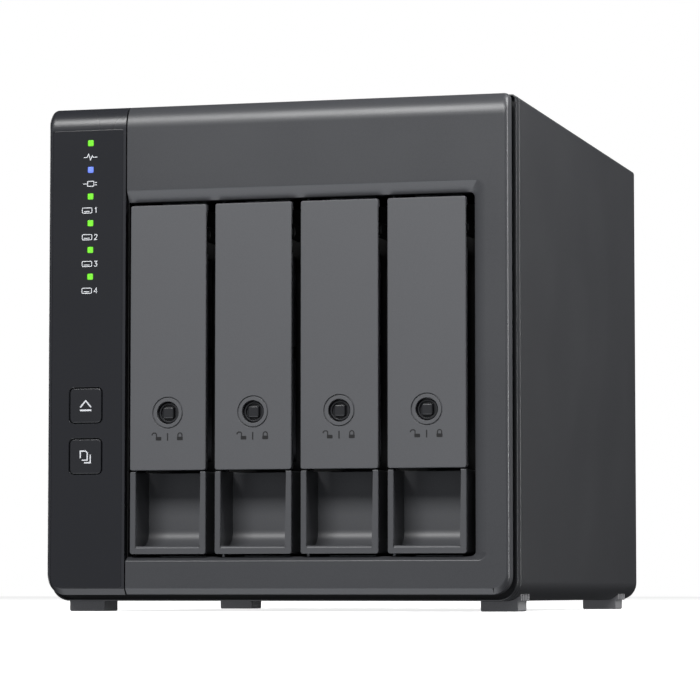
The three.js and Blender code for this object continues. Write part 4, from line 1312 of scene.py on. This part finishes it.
def softbox(name, direction, distance, width, height, power):
    """Area light facing the middle of the object from a direction (azimuth, elevation) in degrees."""
    aim = (CAD_BOX[0] + CAD_BOX[1]) / 2
    data = bpy.data.lights.new(name, "AREA")
    data.shape = "RECTANGLE"
    data.size, data.size_y = width, height
    data.energy = power
    lamp = bpy.data.objects.new(name, data)
    scene.collection.objects.link(lamp)
    azimuth, elevation = (math.radians(v) for v in direction)
    level = math.cos(elevation)
    way = Vector((math.sin(azimuth) * level, -math.cos(azimuth) * level, math.sin(elevation)))
    lamp.location = aim + way * distance
    lamp.rotation_mode = "QUATERNION"
    lamp.rotation_quaternion = way.to_track_quat("Z", "Y")


def surroundings():
    """Grey room light from the front and the table, dark overhead and behind. It shows as white paper."""
    world = bpy.data.worlds.new("studio")
    world.use_nodes = True
    scene.world = world
    nodes, links = world.node_tree.nodes, world.node_tree.links

    def vector(operation, source, value=None):
        node = nodes.new("ShaderNodeVectorMath")
        node.operation = operation
        links.new(source, node.inputs[0])
        if value:
            node.inputs[1].default_value = value
        return node

    def ranged(source, **limits):
        node = nodes.new("ShaderNodeMapRange")
        for name, value in limits.items():
            node.inputs[name.replace("_", " ").title()].default_value = value
        links.new(source, node.inputs["Value"])
        return node.outputs["Result"]

    way = nodes.new("ShaderNodeTexCoord").outputs["Generated"]
    split = nodes.new("ShaderNodeSeparateXYZ")
    links.new(way, split.inputs["Vector"])
    ramp = nodes.new("ShaderNodeValToRGB")
    levels = ((0.0, 2.4), (0.14, 2.0), (0.28, 0.6), (0.42, 0.2), (0.62, 0.22), (0.78, 0.05), (1.0, 0.03))
    fill_ramp(ramp, [(position, (v * 0.94, v * 0.96, v, 1.0)) for position, v in levels])
    links.new(ranged(split.outputs["Z"], from_min=-1.0), ramp.inputs["Fac"])
    level = vector("MULTIPLY", way, (1.0, 1.0, 0.0))
    heading = vector("NORMALIZE", level.outputs["Vector"])
    facing = vector("DOT_PRODUCT", heading.outputs["Vector"], (-0.34, -0.94, 0.0))
    room = nodes["Background"]
    links.new(ramp.outputs["Color"], room.inputs["Color"])
    strength = ranged(facing.outputs["Value"], from_min=0.3, from_max=1.0, to_min=0.1, to_max=1.35)
    links.new(strength, room.inputs["Strength"])
    paper = nodes.new("ShaderNodeBackground")
    paper.inputs["Color"].default_value = (1.0, 1.0, 1.0, 1.0)
    path = nodes.new("ShaderNodeLightPath")
    mix = nodes.new("ShaderNodeMixShader")
    links.new(path.outputs["Is Camera Ray"], mix.inputs["Fac"])
    links.new(room.outputs["Background"], mix.inputs[1])
    links.new(paper.outputs["Background"], mix.inputs[2])
    links.new(mix.outputs["Shader"], nodes["World Output"].inputs["Surface"])


def camera():
    """Eye near table height, to the right of the front, with a long lens."""
    data = bpy.data.cameras.new("camera")
    data.sensor_width = 36.0
    data.lens = 173.6
    data.clip_start, data.clip_end = 0.01, 50
    eye = bpy.data.objects.new("camera", data)
    scene.collection.objects.link(eye)
    eye.location = Vector((315.43, -1169.68, 6.64)) * MM
    eye.rotation_euler = (math.radians(94.09), 0, math.radians(15.27))
    scene.camera = eye


floor()
surroundings()
softbox("key", (-8, 36), 1.7, 0.95, 0.44, 25)
softbox("edge_strip", (112, 8), 1.5, 0.4, 1.3, 18)
softbox("side_top", (76, 46), 0.55, 0.3, 0.3, 3.2)
softbox("left_strip", (-118, 8), 1.5, 0.4, 1.3, 7)
camera()
scene.view_settings.view_transform = "Standard"
